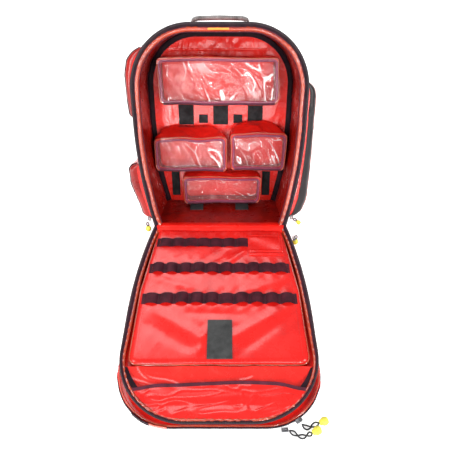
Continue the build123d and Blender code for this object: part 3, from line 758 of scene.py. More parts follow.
# a darker ring over the inside of the side wall: painted shade on the compartment's walls
inner = [(7.6, d) for d in np.linspace(13, 189, 34)] + [(8.2, d) for d in np.linspace(189, 13, 34)]
own(ring_piece("side_wall_painted_shade", back, inner, red_shaded, gusset_wobble), "back_half")

# bound corner between the side wall and the back wall; the black band is partly real binding and
# partly painted shade for the dark corner and crown
corner = [(7.0, 176.0), (8.6, 177.0), (8.8, 184.0), (10.4, 187.4), (15.0, 188.6), (20.0, 188.9),
          (20.6, 189.9), (7.0, 190.2)]
own(ring_piece("corner_binding_and_shade", back, corner, tape), "back_half")


def full_half(height, inset=0.0, width=RIM_WIDTH, length=RIM_LENGTH, corner=CORNER_R):
    """Half the width of the outline at any height, with the rounded crown."""
    height = np.asarray(height, float)
    r, top = corner - inset, length - inset
    low = half_width(height, inset, width)
    over = np.clip(height - (top - r), 0, r)
    return np.where(height < top - r, low, width / 2 - corner
                    + np.sqrt(np.maximum(r ** 2 - over ** 2, 0)))


def plate(inset, bottom, rows, columns, where, depth, width=RIM_WIDTH, length=RIM_LENGTH,
          corner=CORNER_R):
    """A grid of points that fills the outline; depth is a function of x and height."""
    t = np.linspace(0, 1, rows)
    h = bottom + (length - inset - bottom) * np.sin(t * math.pi / 2) ** 0.9
    s = np.linspace(-1, 1, columns)
    x = s[None, :] * full_half(h, inset, width, length, corner)[:, None]
    hh = np.broadcast_to(h[:, None], x.shape)
    return where(x, hh, depth(x, hh))


def lining_depth(x, h):
    """The back lining: soft swells, vertical folds near the crown and a sewn seam."""
    p = np.stack([x, h, np.zeros_like(x)], axis=-1)
    edge = ease((full_half(h, 20) - np.abs(x)) / 20) * ease((430 - h) / 14) * ease((h - 2) / 12)
    vertical = ((np.sin(x / 11.0 + 1.8 * waves(p, 72, 120)) * 0.8 + 0.9
                 * creases(p * [1.4, 0.5, 1], 73, 46, 0.4)) * hump(h, 412, 30))
    seam = 1.2 * hump(h, 402, 1.8)
    return 189.6 - edge * (0.5 * creases(p, 71, 90) + 0.5 + vertical - seam)


g = plate(8.0, -1.6, 150, 130, back, lining_depth)
lining = cloth_sheet("back_lining", g, red_back, 1.2, 1)
own(lining, "back_half", ("back_panel",))
for offset in (-3.2, 3.2):
    xs = np.linspace(-150, 150, 90)
    line = back(xs, 402 + offset, lining_depth(xs, np.full_like(xs, 402 + offset)) - 0.35)
    own(several(f"lining_stitches_{'low' if offset < 0 else 'high'}",
                stitch_parts(line, -INTO_BACK, 4.6), red_thread), "back_half")


# floor of the compartment, running over the hinge into the lid
def floor_grid():
    n = np.linspace(189.5, 16, 60)
    s = np.linspace(-1, 1, 90)
    x = s[None, :] * (half_width(0.0, 7.2) + 0 * n[:, None])
    nn = np.broadcast_to(n[:, None], x.shape)
    p = np.stack([x, nn, np.zeros_like(x)], axis=-1)
    edge = ease((160 - np.abs(x)) / 12) * ease((nn - 16) / 14) * ease((188 - nn) / 8)
    return back(x, 0.6 + 0.45 * edge * (1 + creases(p, 81, 60)), nn)


# its dark red is painted shade at the bottom of the compartment
own(cloth_sheet("compartment_floor", floor_grid(), red_shaded, 4.0, -1), "back_half",
    ("base_panel",))

s = np.linspace(-1, 1, 110)
hinge_path = ([(back, h, d) for d, h in zip(np.linspace(17.0, 2.0, 14),
        [1.4] * 8 + [1.3, 1.2, 1.0, 0.8, 0.6, 0.4])] + [(lid, a, d) for a,
                d in zip(np.linspace(2.0, 16.0, 14), [0.2, 0.5, 0.9, 1.4, 2.0, 2.7, 3.5, 4.4, 5.2]
                         + [6.0] * 5)])
rows = []
for k, (where, a, d) in enumerate(hinge_path):
    half = half_width(0.0, 7.0) - 1
    x = s * half
    p = np.stack([x, np.full_like(x, k * 4.0), np.zeros_like(x)], axis=-1)
    lift = 0.5 * (1 + creases(p, 91, 46)) * math.sin(math.pi * k / (len(hinge_path) - 1))
    rows.append(back(x, a + lift, d) if where is back else lid(x, a, d - lift))
hinge_cloth = cloth_sheet("hinge_fabric", np.array(rows), red_inside, 1.4, -1)
tuple(back(0, 0, 7) * MM)
tuple(lid(0, 7, 0) * MM)
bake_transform(hinge_cloth)

# ---- pouches: soft trays with a clear window flap ----
# name, centre across, width, low edge, back top, front top, thickness, crown arch at the back
POUCHES = (
    ("top", -6.0, 300.0, 275.0, 389.0, 386.0, 72.0, 10.0),
    ("middle_left", -77.0, 194.0, 101.0, 217.0, 194.0, 62.0, 46.0),
    ("middle_right", 99.0, 146.0, 104.0, 226.0, 205.0, 62.0, 34.0),
    ("bottom", 2.0, 212.0, 12.0, 96.0, 90.0, 62.0, 16.0),
)
POUCH_BACK = 188.0


def frame_line(width, low, top, radii, count=132):
    """A rounded rectangle round the window or body of a pouch, as x and height from its low
    left corner clockwise; radii are for its low and top corners."""
    w = width / 2
    points = []
    for cx, cy, r, a0 in ((-w, low, radii[0], 270), (-w, top, radii[1], 180),
            (w, top, radii[1], 90), (w, low, radii[0], 0)):
        sx = 1 if cx < 0 else -1
        sy = 1 if cy == low else -1
        for a in np.linspace(0, math.pi / 2, 10):
            ang = math.radians(a0) - a
            points.append((cx + sx * r + r * math.cos(ang), cy + sy * r + r * math.sin(ang)))
    points.append(points[0])
    return even(points, count + 1)[:-1]


def pouch(name, across, width, low, back_top, front_top, thick, arch, seed):
    front = BACK_DEPTH - thick

    def warp(g):
        """Pulls the whole pouch slightly out of true, as filled soft pouches are."""
        return (g + 1.7 * waves(g, seed + 50, 130)[..., None] * ACROSS + 1.5
                * waves(g, seed + 51, 120)[..., None] * UP_BACK)

    steps = 26
    rings = []
    for t in np.linspace(0, 1, steps):
        n = POUCH_BACK + (front - POUCH_BACK) * t
        belly = math.sin(math.pi * min(1, t * 1.02))
        top = back_top + (front_top - back_top) * ease(t * 0.9)
        w = width - 6 + 5.0 * belly - (3 if name == "top" else 5) * t
        line = frame_line(w, low + 1 - 1.2 * belly, top - 1 + 2.5 * belly * (name != "top"),
                (12 + 6 * (1 - t), 9 + arch * (1 - ease(t * 0.95))))
        rings.append(back(across + line[:, 0], line[:, 1], np.full(len(line), n)))
    g = np.array(rings)
    mid = g.mean(axis=(0, 1))
    outwards = g - mid
    outwards -= (outwards @ INTO_BACK)[..., None] * INTO_BACK
    outwards /= np.linalg.norm(outwards, axis=-1)[..., None]
    t = np.linspace(0, 1, steps)[:, None]
    g = (g + (2.3 * creases(g, seed, 44, 0.45) * ease(t * 6) * ease((1 - t) * 7))[..., None]
         * outwards)
    m = g.shape[1]
    inner = g - outwards * 1.6
    # the front border turns in towards the window, and the inner face returns to the back
    line = frame_line(width - 6, low + 4, front_top - 3, (11, 9))
    lip_a = back(across + line[:, 0], line[:, 1], np.full(m, front - 0.1))
    line = frame_line(width - 21, low + 11, front_top - 10, (9, 8))
    lip_b = back(across + line[:, 0], line[:, 1], np.full(m, front + 0.3))
    lip_c = lip_b + INTO_BACK * 1.4
    loops = [*g, lip_a, lip_b, lip_c, *inner[::-1][1:]]
    verts = warp(np.array(loops))
    faces = tube_faces(len(loops), m)
    around = distances(verts[0])
    run = np.arange(len(loops)) * 3.0
    uv = np.stack(np.broadcast_arrays(around[None, :], run[:, None]), axis=-1).reshape(-1, 2)
    body = piece(f"pouch_body_{name}", verts.reshape(-1, 3), faces, red_gloss, uv, 55)
    own(body, f"pouch_{name}", (f"pouch_{name}",))
    # near-black sheet over the inner side walls: painted shade inside the pouch, seen through its
    # window
    shade = np.concatenate([inner[1:-1] - outwards[1:-1] * 0.5,
            (inner[1:-1] - outwards[1:-1] * 1.1)[::-1]])
    k = len(shade)
    own(piece(f"pouch_side_wall_painted_shade_{name}", warp(shade).reshape(-1, 3),
              grid_faces(k, m, wrap_u=True, wrap_v=True), painted_shade_lining, grid_uv(shade), 55),
              f"pouch_{name}")
    # lining and binding
    cols, rws = 70, 46
    sx, sh = np.meshgrid(np.linspace(-1, 1, cols), np.linspace(0, 1, rws), indexing="ij")
    ww = (width - 14) / 2
    hh = low + 5 + sh * (back_top - low - 11)
    xx = across + sx * ww * (1 - 0.10 * (arch > 20) * ease((sh - 0.75) * 4))
    p = np.stack([xx, hh, 0 * hh], axis=-1)
    g2 = back(xx, hh, 185.0 - 0.8 * creases(p, seed + 3, 40, 0.3))
    own(cloth_sheet(f"pouch_lining_{name}", warp(g2), red_inside, 0.8, 1), f"pouch_{name}")
    line = frame_line(width - 6, low + 2.2, front_top - 2.2, (12, 10), 200)
    ring = back(across + line[:, 0], line[:, 1], np.full(len(line), front + 0.3))
    seam = sweep_data(warp(ring), INTO_BACK, disc(1.7, 10), closed=True)
    own(several(f"pouch_piping_{name}", [seam], red_facing), f"pouch_{name}")
    # the clear film, pulled tight between its edges and creased
    half = (width - 15) / 2
    cols, rws = int(half * 2 / 1.3), int((front_top - low) / 1.3)
    sx, sh = np.meshgrid(np.linspace(-1, 1, cols), np.linspace(0, 1, rws), indexing="ij")
    xx = across + sx * half
    hh = low + 6 + sh * (front_top - low - 12)
    free = (ease((1 - np.abs(sx)) * half / 16) * ease(sh * (front_top - low) / 12)
            * ease((1 - sh) * (front_top - low) / 12))
    p = np.stack([xx, hh * 0.8, 0 * hh], axis=-1)
    slant = np.stack([xx + 0.55 * hh, 0.42 * (hh - 0.4 * xx), 0 * hh], axis=-1)
    film = (0.9 * waves(slant, seed + 7, 100, 5) + 1.6 * creases(slant, seed + 8, 46, 0.4)
            * (0.5 + 0.5 * hump(sx, 0.8, 0.7)))
    swirl = np.stack([0.8 * xx + 0.5 * hh, 0.34 * (hh - 0.5 * xx), 0 * hh], axis=-1)
    swirl = swirl + 7.0 * waves(p, seed + 14, 80)[..., None]
    thin = np.clip(1 - np.abs(waves(swirl, seed + 12, 36, 5)) * 4.4, 0, 1) ** 1.3
    patchy = np.clip(0.25 + 0.8 * hump(sx, 0.75, 0.45) + 0.45 * waves(p, seed + 13, 70), 0, 1)
    hazy = 0.16 * np.clip(waves(swirl, seed + 15, 60, 6) - 0.3, 0, 1.4)
    # The crease mask also goes to the vinyl material, where it paints the creases whiter and more
    # opaque, stronger towards the right: painted highlights for glare.
    glare_crinkle = (thin * patchy + hazy) * free
    film = film + 1.1 * glare_crinkle
    sag = 2.2 * np.sin(math.pi * sh) ** 0.8 * (0.4 + 0.6 * waves(p, seed + 9, 170) ** 2 / 2)
    depth = front - 1.1 - free * (0.9 + film * 0.8 - sag * 0.5)
    clear = cloth_sheet(f"pouch_film_{name}", warp(back(xx, hh, depth)), vinyl, 0.35, 1, 75)
    clear.data.attributes.new("glare_crinkle", "FLOAT", "POINT").data.foreach_set("value",
            np.tile(glare_crinkle.ravel(), 2))
    own(clear, f"window_{name}", (f"pouch_{name}_window",))
    # the film's bound edge
    line = frame_line(width - 17, low + 8, front_top - 8, (9, 8), 240)
    ring = back(across + line[:, 0], line[:, 1], np.full(len(line), front - 1.6))
    closed = [sweep_data(warp(ring), INTO_BACK, slab(1.4, 5.5, 0.4), closed=True)]
    edge = several(f"window_binding_{name}", closed, clear_binding)
    own(edge, f"window_{name}")
    ring = back(across + line[:, 0], line[:, 1], np.full(len(line), front - 2.5))
    own(several(f"window_stitches_{name}", stitch_parts(warp(np.vstack([ring, ring[:1]])),
            -INTO_BACK, 4.0, 2.6, 0.3, 0.1), red_thread), f"window_{name}")
    # the dark tape that the flap is hinged on
    hinge_line = back(np.linspace(across - half + 4, across + half - 4, 60), low + 4.5, front - 1.2)
    own(sweep(f"window_hinge_{name}", warp(hinge_line), UP_BACK, slab(6.5, 1.6), binding),
        f"window_{name}")


for number, row in enumerate(POUCHES):
    pouch(*row, seed=200 + 37 * number)

# ---- hook-and-loop strips and webbing tabs inside ----
# place across, height of the middle, width and length
WIDE_STRIPS = ((-92, 245, 40, 56), (0, 245, 40, 56), (92, 245, 40, 56))
SMALL_STRIPS = ((-46, 232, 24, 22), (46, 232, 24, 22), (-128, 52, 22, 70), (128, 52, 22, 70))
strips = []
for x, h, w, length in WIDE_STRIPS + SMALL_STRIPS:
    line = back(np.full(24, x), np.linspace(h - length / 2, h + length / 2, 24), 187.9)
    strips.append(sweep_data(line, ACROSS, slab(w, 1.6)))
own(several("pouch_strips", strips, fuzzy), "back_half", ("pouch_loop_strips",))
edges = []
for x, h, w, length in WIDE_STRIPS:
    for sx in (-1, 1):
        line = back(np.full(20, x + sx * (w / 2 - 2.2)),
                    np.linspace(h - length / 2 + 2, h + length / 2 - 2, 20), 187.0)
        edges += stitch_parts(line, -INTO_BACK, 4.0, 2.6, 0.3)
sewn("strip_stitches", edges, "back_half")

tabs = []
for x in (-66, 58):
    n = np.linspace(108, 171, 30)
    lift = 1.9 + 6.0 * np.sin(math.pi * np.clip((n - 112) / 52, 0, 1)) ** 0.7
    line = back(np.full(30, x), lift, n)
    tabs.append(sweep_data(line, ACROSS, slab(36, 1.9)))
own(several("floor_webbing_tabs", tabs, web), "back_half", ("floor_tabs",))

line = back(np.linspace(-24, 20, 12), 438.6, 0.1)
own(sweep("blank_label", line, UP_BACK, slab(4.2, 1.0), label), "back_half",
    ("label_patch",))

# ---- lid shell ----
def lid_depth(along):
    """Depth of the lid's panel under the rim: it gets thinner towards the crown."""
    return 56.0 - 46.0 * np.clip(np.asarray(along, float) / RIM_LENGTH, -0.1, 1.0)


TAPE_DEPTH = 5.4           # where the lid's wall starts, under its zip tape
count_in = 18
# down the inside of the wall, from the tape, 0, to the panel, 1, and up its outside
insets = [7.0] * count_in + [3.0] * count_in
shares = list(np.linspace(0.04, 1.0, count_in)) + list(np.linspace(1.0, 0.0, count_in))
q = OUT[:, None, :] + OUT_N[:, None, :] * np.array(insets)[None, :, None]
depth = TAPE_DEPTH + (lid_depth(q[..., 1]) + 0.2 - TAPE_DEPTH) * np.array(shares)[None, :]
g = lid(q[..., 0], q[..., 1], depth)
free = np.sin(math.pi * np.array(shares)) * np.where(np.array(insets) > 5, 1.3, 0.8)
g = g + (free[None, :] * creases(g, 101, 60, 0.4))[..., None] * ring_inward(lid)[:, None, :]
m = len(insets)
uv = np.stack(np.broadcast_arrays(np.arange(COUNT)[:, None] * POINT_GAP,
        np.arange(m)[None, :] * 3.0), axis=-1).reshape(-1, 2)
own(piece("lid_side_wall", g.reshape(-1, 3), tube_faces(COUNT, m), red_inside, uv, 50), "lid",
    ("lid_wall",))


def lid_lining_depth(x, h):
    p = np.stack([x, h, 0 * x], axis=-1)
    free = ease((full_half(h, 12) - np.abs(x)) / 24) * ease((444 - h) / 16) * ease((h + 2) / 14)
    return lid_depth(h) + 0.2 - free * (0.6 + 0.5 * creases(p, 111, 80))


g = plate(5.0, -3.5, 130, 110, lid, lid_lining_depth)
own(cloth_sheet("lid_lining", g, red_inside, 4.6, -1), "lid", ("lid_panel",))

# the wall that closes the lid next to the hinge
half = half_width(0.0, 4.0)
x = np.linspace(-half, half, 100)
rows = []
for d in np.linspace(6.5, 56.0, 20):
    p = np.stack([x, 0 * x, 0 * x + d], axis=-1)
    swell = math.sin(math.pi * (d - 6.5) / 49.5) * (0.8 + 1.2 * creases(p, 121, 55))
    rows.append(lid(x, -0.4 - swell, d))
own(cloth_sheet("lid_end_wall", np.array(rows), red, 2.5, -1), "lid")

# ---- organiser panel ----
PANEL_NEAR, PANEL_FAR, PANEL_TOP, PANEL_THICK = 8.0, 344.0, 3.0, 15.0
PANEL_EDGE_L = [8.0, 60.0, 120.0, 180.0, 260.0, 344.0]
PANEL_EDGE_X = [150.0, 157.8, 165.9, 174.0, 175.6, 177.0]


def panel_half(along):
    """Half the panel's width, with its rounded far corners."""
    along = np.asarray(along, float)
    half = np.interp(along, PANEL_EDGE_L, PANEL_EDGE_X)
    over = np.clip(along - (PANEL_FAR - 18.0), 0, 18.0)
    return half - 18.0 + np.sqrt(np.maximum(18.0 ** 2 - over ** 2, 0))


# soft folds in the panel: across and along at each end, height and width
PANEL_FOLDS = ((-135, 232, -26, 300, 2.0, 13), (-150, 262, -60, 312, -1.3, 12),
               (135, 228, 28, 292, 1.9, 14), (120, 262, 40, 322, -1.2, 11),
               (-60, 236, 40, 240, -1.0, 9), (-26, 268, -40, 322, 1.0, 7),
               (60, 72, 20, 104, 1.3, 8), (20, 70, -10, 104, -1.1, 8),
               (-150, 150, -60, 176, 1.2, 10), (150, 152, 60, 182, 1.1, 10))


def panel_surface(x, along):
    """Depth of the organiser's upper face at a place on it."""
    x, along = np.broadcast_arrays(np.asarray(x, float), np.asarray(along, float))
    p = np.stack([x, along, 0 * x], axis=-1)
    half = panel_half(along)
    side = np.clip((half - np.abs(x)) / 11.0, 0, 1)
    end = np.clip(np.minimum(along - PANEL_NEAR, PANEL_FAR - along) / 11.0, 0, 1)
    crown = np.sqrt(1 - (1 - side) ** 2) * np.sqrt(1 - (1 - end) ** 2)
    broad = waves(p * [1, 0.8, 1], 131, 190, 5)
    drag = creases(p * [0.5, 0.9, 1] + np.stack([0 * x, 0.35 * x, 0 * x], axis=-1), 133, 105, 0.2)
    rows = sum(hump(along, a, 13) for a in (50.5, 124.5, 202.5))
    quiet = 1 - 0.75 * np.clip(rows, 0, 1)
    tug = (0.35 * np.sin(x / 31.0 * 2 * math.pi) * (hump(along, 30, 9) + hump(along, 104, 9)
            + hump(along, 182, 9) + hump(along, 145, 8) + hump(along, 222, 8)))
    folds = 0.0
    for x0, l0, x1, l1, size, width in PANEL_FOLDS:
        run = np.array([x1 - x0, l1 - l0], float)
        size_sq = (run ** 2).sum()
        t = ((x - x0) * run[0] + (along - l0) * run[1]) / size_sq
        off = ((x - x0) * run[1] - (along - l0) * run[0]) / math.sqrt(size_sq)
        folds = (folds + size * np.exp(-(off / width) ** 2) * ease((t + 0.25) / 0.4)
                 * ease((1.25 - t) / 0.4))
    pinch = 0.5 * np.sin(along / 5.2) * hump(np.abs(x), 34, 9) * hump(along, 296, 34)
    return (PANEL_TOP + 6.5 * (1 - crown) - crown * quiet * (0.8 * broad + 0.5 * drag + folds)
            + crown * (tug + pinch) + 0.4)


g_rows, g_cols = 190, 170
t = np.linspace(0, 1, g_rows)
along = (PANEL_NEAR + (PANEL_FAR - PANEL_NEAR) * (0.5 - 0.5 * np.cos(math.pi * t)) * 0.25
         + (PANEL_FAR - PANEL_NEAR) * 0.75 * t)
s = np.linspace(-1, 1, g_cols)
s = 0.25 * np.sin(s * math.pi / 2) + 0.75 * s
x = s[None, :] * panel_half(along)[:, None]
ll = np.broadcast_to(along[:, None], x.shape)
top = panel_surface(x, ll)
side = np.clip((panel_half(ll) - np.abs(x)) / 11.0, 0, 1)
end = np.clip(np.minimum(ll - PANEL_NEAR, PANEL_FAR - ll) / 11.0, 0, 1)
crown = np.sqrt(1 - (1 - side) ** 2) * np.sqrt(1 - (1 - end) ** 2)
bottom = PANEL_TOP + PANEL_THICK - 5.0 * (1 - crown)
verts = np.concatenate([lid(x, ll, top).reshape(-1, 3),
        lid(x, ll, np.maximum(bottom, top + 0.4)).reshape(-1, 3)])
uv = np.stack([x, ll], axis=-1).reshape(-1, 2)
panel = piece("organiser_pad", verts, sheet_faces(g_rows, g_cols), red_panel,
              np.concatenate([uv, uv]), 60)
own(panel, "organiser", ("organiser_panel",))
loop = [lid(-panel_half(a) - 0.2, a, PANEL_TOP + 7.6)
        for a in np.linspace(PANEL_NEAR + 3, PANEL_FAR - 0.01, 150)]
loop += [lid(x1, PANEL_FAR + 0.2, PANEL_TOP + 7.6) for x1 in np.linspace(-158, 158, 60)]
loop += [lid(panel_half(a) + 0.2, a, PANEL_TOP + 7.6)
         for a in np.linspace(PANEL_FAR - 0.01, PANEL_NEAR + 3, 150)]
line = even(np.array(loop).reshape(-1, 3), 330)
own(sweep("organiser_piping", line, INTO_LID, disc(2.1, 12), red_facing), "organiser")
for name, sign in (("left", -1), ("right", 1)):
    a = np.linspace(20, 330, 140)
    xs = sign * (panel_half(a) - 12.5)
    line = lid(xs, a, panel_surface(xs, a) - 0.3)
    own(several(f"organiser_stitches_{name}", stitch_parts(line, -INTO_LID, 5.0, 3.2, 0.3, 0.1),
                red_thread), "organiser")

# ---- elastic loops ----
# place along the lid, first loop's left edge, number of loops, pitch, height of the loops
LOOP_ROWS = ((38.0, -146.0, 7, 30.5, 4.0), (112.0, -156.0, 10, 31.0, 8.6),
             (190.0, -163.0, 10, 32.5, 10.6))
WEB = 25.0
bands, tacks = [], []
for number, (a0, left, count, pitch, height) in enumerate(LOOP_ROWS):
    rng = np.random.default_rng(500 + number)
    heights = height * rng.uniform(0.55, 1.04, count)
    leans = rng.uniform(-4.5, 4.5, count)
    xs = np.linspace(left - 5, left + pitch * count + 5, 40 * count)
    k = np.clip(((xs - left) // pitch).astype(int), 0, count - 1)
    t = np.clip((xs - left) / pitch - k, 0, 1)
    inside = (xs > left) & (xs < left + pitch * count)
    arch = np.where(inside, np.sin(math.pi * np.clip((t - 0.1) / 0.8, 0, 1)) ** 0.62, 0.0)
    rise = heights[k] * arch
    sway = leans[k] * arch
    rows = []
    for v in np.linspace(0, 1, 12):
        al = (a0 + WEB * v + 0.5 * waves(np.stack([xs, 0 * xs, 0 * xs + number * 50], axis=-1), 151,
                70))
        sunk = panel_surface(xs, al)
        flare = rise * (0.86 + 0.16 * v)
        shift = (al - a0 - WEB / 2) * 0.03 * sway
        rows.append(lid(xs + shift, al, np.minimum(sunk, 3.6) - 0.55 - flare))
    g = np.array(rows)
    under = g + INTO_LID * 1.1
    vv = np.concatenate([g.reshape(-1, 3), under.reshape(-1, 3)])
    uvs = np.concatenate([grid_uv(g)] * 2)[:, ::-1]
    bands.append((vv, sheet_faces(*g.shape[:2]), uvs))
    for j in range(count + 1):
        xt = left + pitch * j + (0.1 if j == 0 else 0)
        als = np.linspace(a0 + 1.5, a0 + WEB - 1.5, 16)
        line = lid(np.full(16, xt), als, np.minimum(panel_surface(np.full(16, xt), als), 3.6)
                   - 0.95)
        tacks += stitch_parts(line, -INTO_LID, 2.0, 1.5, 0.35, 0.1)
own(several("elastic_loop_bands", bands, elastic, 50), "organiser",
    ("elastic_loops",))
sewn("elastic_bar_tacks", tacks, "organiser")

# ---- small flat pocket and the loop patch on the organiser ----
sx, sl = np.meshgrid(np.linspace(-1, 1, 60), np.linspace(0, 1, 46), indexing="ij")
xx, al = 108 + sx * 41, 31 + sl * 58
p = np.stack([xx, al, 0 * xx], axis=-1)
edge = ease((1 - np.abs(sx)) * 41 / 7) * ease(sl * 58 / 7)
lift = (0.9 + 1.5 * edge + 0.35 * edge * waves(p, 161, 60, 5) + 1.1 * hump(al, 84.5, 1.6) + 0.9
        * hump(al, 76.5, 1.4))
g = lid(xx, al, panel_surface(xx, al) - lift)
own(cloth_sheet("organiser_small_pocket", g, red_panel, 0.9, -1), "organiser",
    ("small_pocket",))
stitches = []
for xa, xb, la, lb in ((-38, -38, 34, 88), (38, 38, 34, 88), (-38, 38, 34, 34),
        (-38, 38, 80.5, 80.5)):
    xs, ls = np.linspace(108 + xa, 108 + xb, 50), np.linspace(la, lb, 50)
    e = ease((1 - np.abs(xs - 108) / 41) * 41 / 7) * ease((ls - 31) / 7)
    line = lid(xs, ls, panel_surface(xs, ls) - 1.3 - 1.5 * e)
    stitches += stitch_parts(line, -INTO_LID, 4.2, 2.7, 0.3)
sewn("small_pocket_stitches", stitches, "organiser", red_thread)
hems = []
for xa, xb, la, lb in ((-40, -40, 31, 89), (40, 40, 31, 89), (34, 34, 31, 78), (-40, 40, 31, 31),
        (-40, 40, 89, 89), (-40, 40, 78, 78)):
    xs, ls = np.linspace(108 + xa, 108 + xb, 60), np.linspace(la, lb, 60)
    hems.append(sweep_data(lid(xs, ls, panel_surface(xs, ls)
            - (2.6 if abs(xa) < 39 or la == lb == 78 else 1.3)), INTO_LID, disc(1.15, 8)))
own(several("small_pocket_hems", hems, red), "organiser")

sx, sl = np.meshgrid(np.linspace(-1, 1, 40), np.linspace(0, 1, 60), indexing="ij")
xx, al = 1 + sx * 25, 254 + sl * 82
g = lid(xx, al, panel_surface(xx, al) * 0.5 - 0.5 * (1 - sx ** 6) * (1 - (2 * sl - 1) ** 10))
own(cloth_sheet("organiser_loop_patch", g, patch_pile, 1.4, -1), "organiser",
    ("loop_patch",))
stitches = []
for xa, xb, la, lb in ((-23, -23, 256, 334), (23, 23, 256, 334), (-23, 23, 256, 256),
        (-23, 23, 334, 334)):
    xs, ls = np.linspace(1 + xa, 1 + xb, 40), np.linspace(la, lb, 40)
    stitches += stitch_parts(lid(xs, ls, panel_surface(xs, ls) * 0.5 - 0.45), -INTO_LID, 3.4, 2.3,
            0.3)
sewn("loop_patch_stitches", stitches, "organiser")

# ---- pocket at the lid's far end ----
MOUTH = 384.0


def mouth_line(x):
    """Where the pocket's bound mouth runs, along the lid, and how deep it hangs."""
    x = np.asarray(x, float)
    along = (MOUTH + 9.0 * (1 - ease((165 - np.abs(x)) / 60)) - 3.0 * hump(x, 40, 60) + 2.0
             * hump(x, -95, 40))
    depth = 4.2 + 1.6 * hump(x, -30, 60) - 1.6 * hump(x, 95, 50) - 0.9 * np.cos(x / 60)
    return along, depth


sx, sv = np.meshgrid(np.linspace(-1, 1, 150), np.linspace(0, 1, 60), indexing="ij")
rim_l = RIM_LENGTH - 8.0
xx = sx * 172.0
for _ in range(2):          # the mouth's place follows the width there, and the width the place
    ma, md = mouth_line(xx)
    al = ma + (rim_l - ma) * sv
    xx = sx * full_half(al, 7.6)
p = np.stack([xx * 0.42, al, 0 * xx], axis=-1)
free = ease(sv / 0.12) * ease((1 - sv) / 0.12) * ease((1 - np.abs(sx)) / 0.06)
folds = (1.5 * np.sin(al / 6.2 + 1.1 * waves(p, 171, 90)) * hump(sv, 0.62, 0.3) + 1.2
         * creases(p, 172, 40, 0.5))
depth = md * (1 - sv) + 3.2 * sv - free * (0.7 + 0.8 * folds)
own(cloth_sheet("end_pocket_face", lid(xx, al, depth), red_panel, 1.0, -1), "lid",
    ("end_pocket",))
xs = np.linspace(-171, 171, 160)
ma, md = mouth_line(xs)
line = lid(xs, ma - 0.5, md - 0.2)
own(sweep("end_pocket_binding", line, OUT_LID, slab(7.5, 2.6), binding), "lid")
line = lid(xs, ma + 2.0, md - 1.7)
own(several("end_pocket_stitches", stitch_parts(line, -INTO_LID, 4.4, 3.0, 0.3), thread), "lid")
# black sheets at the pocket's two far corners: painted shade for the dark gaps there
for corner_side, sign in (("left", -1), ("right", 1)):
    u, v = np.meshgrid(np.linspace(0, 1, 16), np.linspace(0, 1, 24), indexing="ij")
    al = 350 + 42 * v
    xx = sign * (full_half(al, 8.5) - 15 * u * (0.35 + 0.65 * v))
    own(cloth_sheet(f"end_pocket_corner_shade_{corner_side}", lid(xx, al, 5.4 + 3.0 * u * (1 - v)), tape,
                    1.2, -1), "lid")
# the pocket's back, which dips behind its mouth
xs2, sv = np.meshgrid(np.linspace(-1, 1, 120), np.linspace(0, 1, 40), indexing="ij")
al = 348 + sv * 76
xx = xs2 * (full_half(al, 9.0) - 1)
p = np.stack([xx, al, 0 * xx], axis=-1)
drop = np.minimum(lid_depth(al) - 2.2, 7.5 + 6.0 * np.sin(math.pi * sv))
depth = drop - 1.8 * creases(p * [0.5, 1, 1], 181, 50)
own(cloth_sheet("end_pocket_back", lid(xx, al, depth), red, 0.9, -1), "lid")

# ---- soft pads ----
def inflate(obj, cap, pressure=4.0, voxel=5.0, frames=20):
    """Swells a pad as cloth under pressure; no point moves farther than the cap."""
    scene = bpy.context.scene
    remesh = obj.modifiers.new("remesh", "REMESH")
    remesh.mode, remesh.voxel_size = "VOXEL", voxel * MM
    start = bpy.data.meshes.new_from_object(obj.evaluated_get(bpy.context.evaluated_depsgraph_get()))
    obj.modifiers.clear()
    obj.data = start
    before = np.array([v.co for v in start.vertices])
    cloth = obj.modifiers.new("cloth", "CLOTH")
    cloth.settings.quality = 5
    cloth.settings.use_pressure = True
    cloth.settings.uniform_pressure_force = pressure
    cloth.settings.effector_weights.gravity = 0
    cloth.point_cache.frame_start, cloth.point_cache.frame_end = 1, frames
    for number in range(1, frames + 1):
        scene.frame_set(number)
    swollen = bpy.data.meshes.new_from_object(obj.evaluated_get(bpy.context.evaluated_depsgraph_get()))
    move = np.array([v.co for v in swollen.vertices]) - before
    bpy.data.meshes.remove(swollen)
    far = np.linalg.norm(move, axis=1)
    move *= np.minimum(1.0, cap * MM / np.maximum(far, 1e-9))[:, None]
    obj.modifiers.clear()
    start.vertices.foreach_set("co", (before + move).ravel())
    scene.frame_set(1)
    finer = obj.modifiers.new("finer", "SUBSURF")
    finer.levels = finer.render_levels = 1
    start.polygons.foreach_set("use_smooth", [True] * len(start.polygons))


def dropped(line, towards, obj, proud=0.0, reach=60.0):
    """The points where a line, moved along a direction, meets a piece."""
    dg = bpy.context.evaluated_depsgraph_get()
    mesh = obj.evaluated_get(dg).to_mesh()
    tree = BVHTree.FromPolygons([v.co[:] for v in mesh.vertices],
            [p.vertices[:] for p in mesh.polygons])
    towards = np.asarray(towards, float)
    out = []
    for point in np.asarray(line, float):
        hit = tree.ray_cast(Vector(((point - towards * reach / 2) * MM).tolist()),
                Vector(towards.tolist()))
        out.append(np.array(hit[0]) / MM - towards * proud if hit[0] is not None else point)
    return np.array(out)


def pad_section(width, thick, count=28, corner=0.5):
    a = np.linspace(0, 2 * math.pi, count, endpoint=False)
    power = lambda c, e: np.sign(c) * np.abs(c) ** e
    return np.stack([width / 2 * power(np.cos(a), corner), thick / 2 * power(np.sin(a), 0.75)],
                    axis=1)


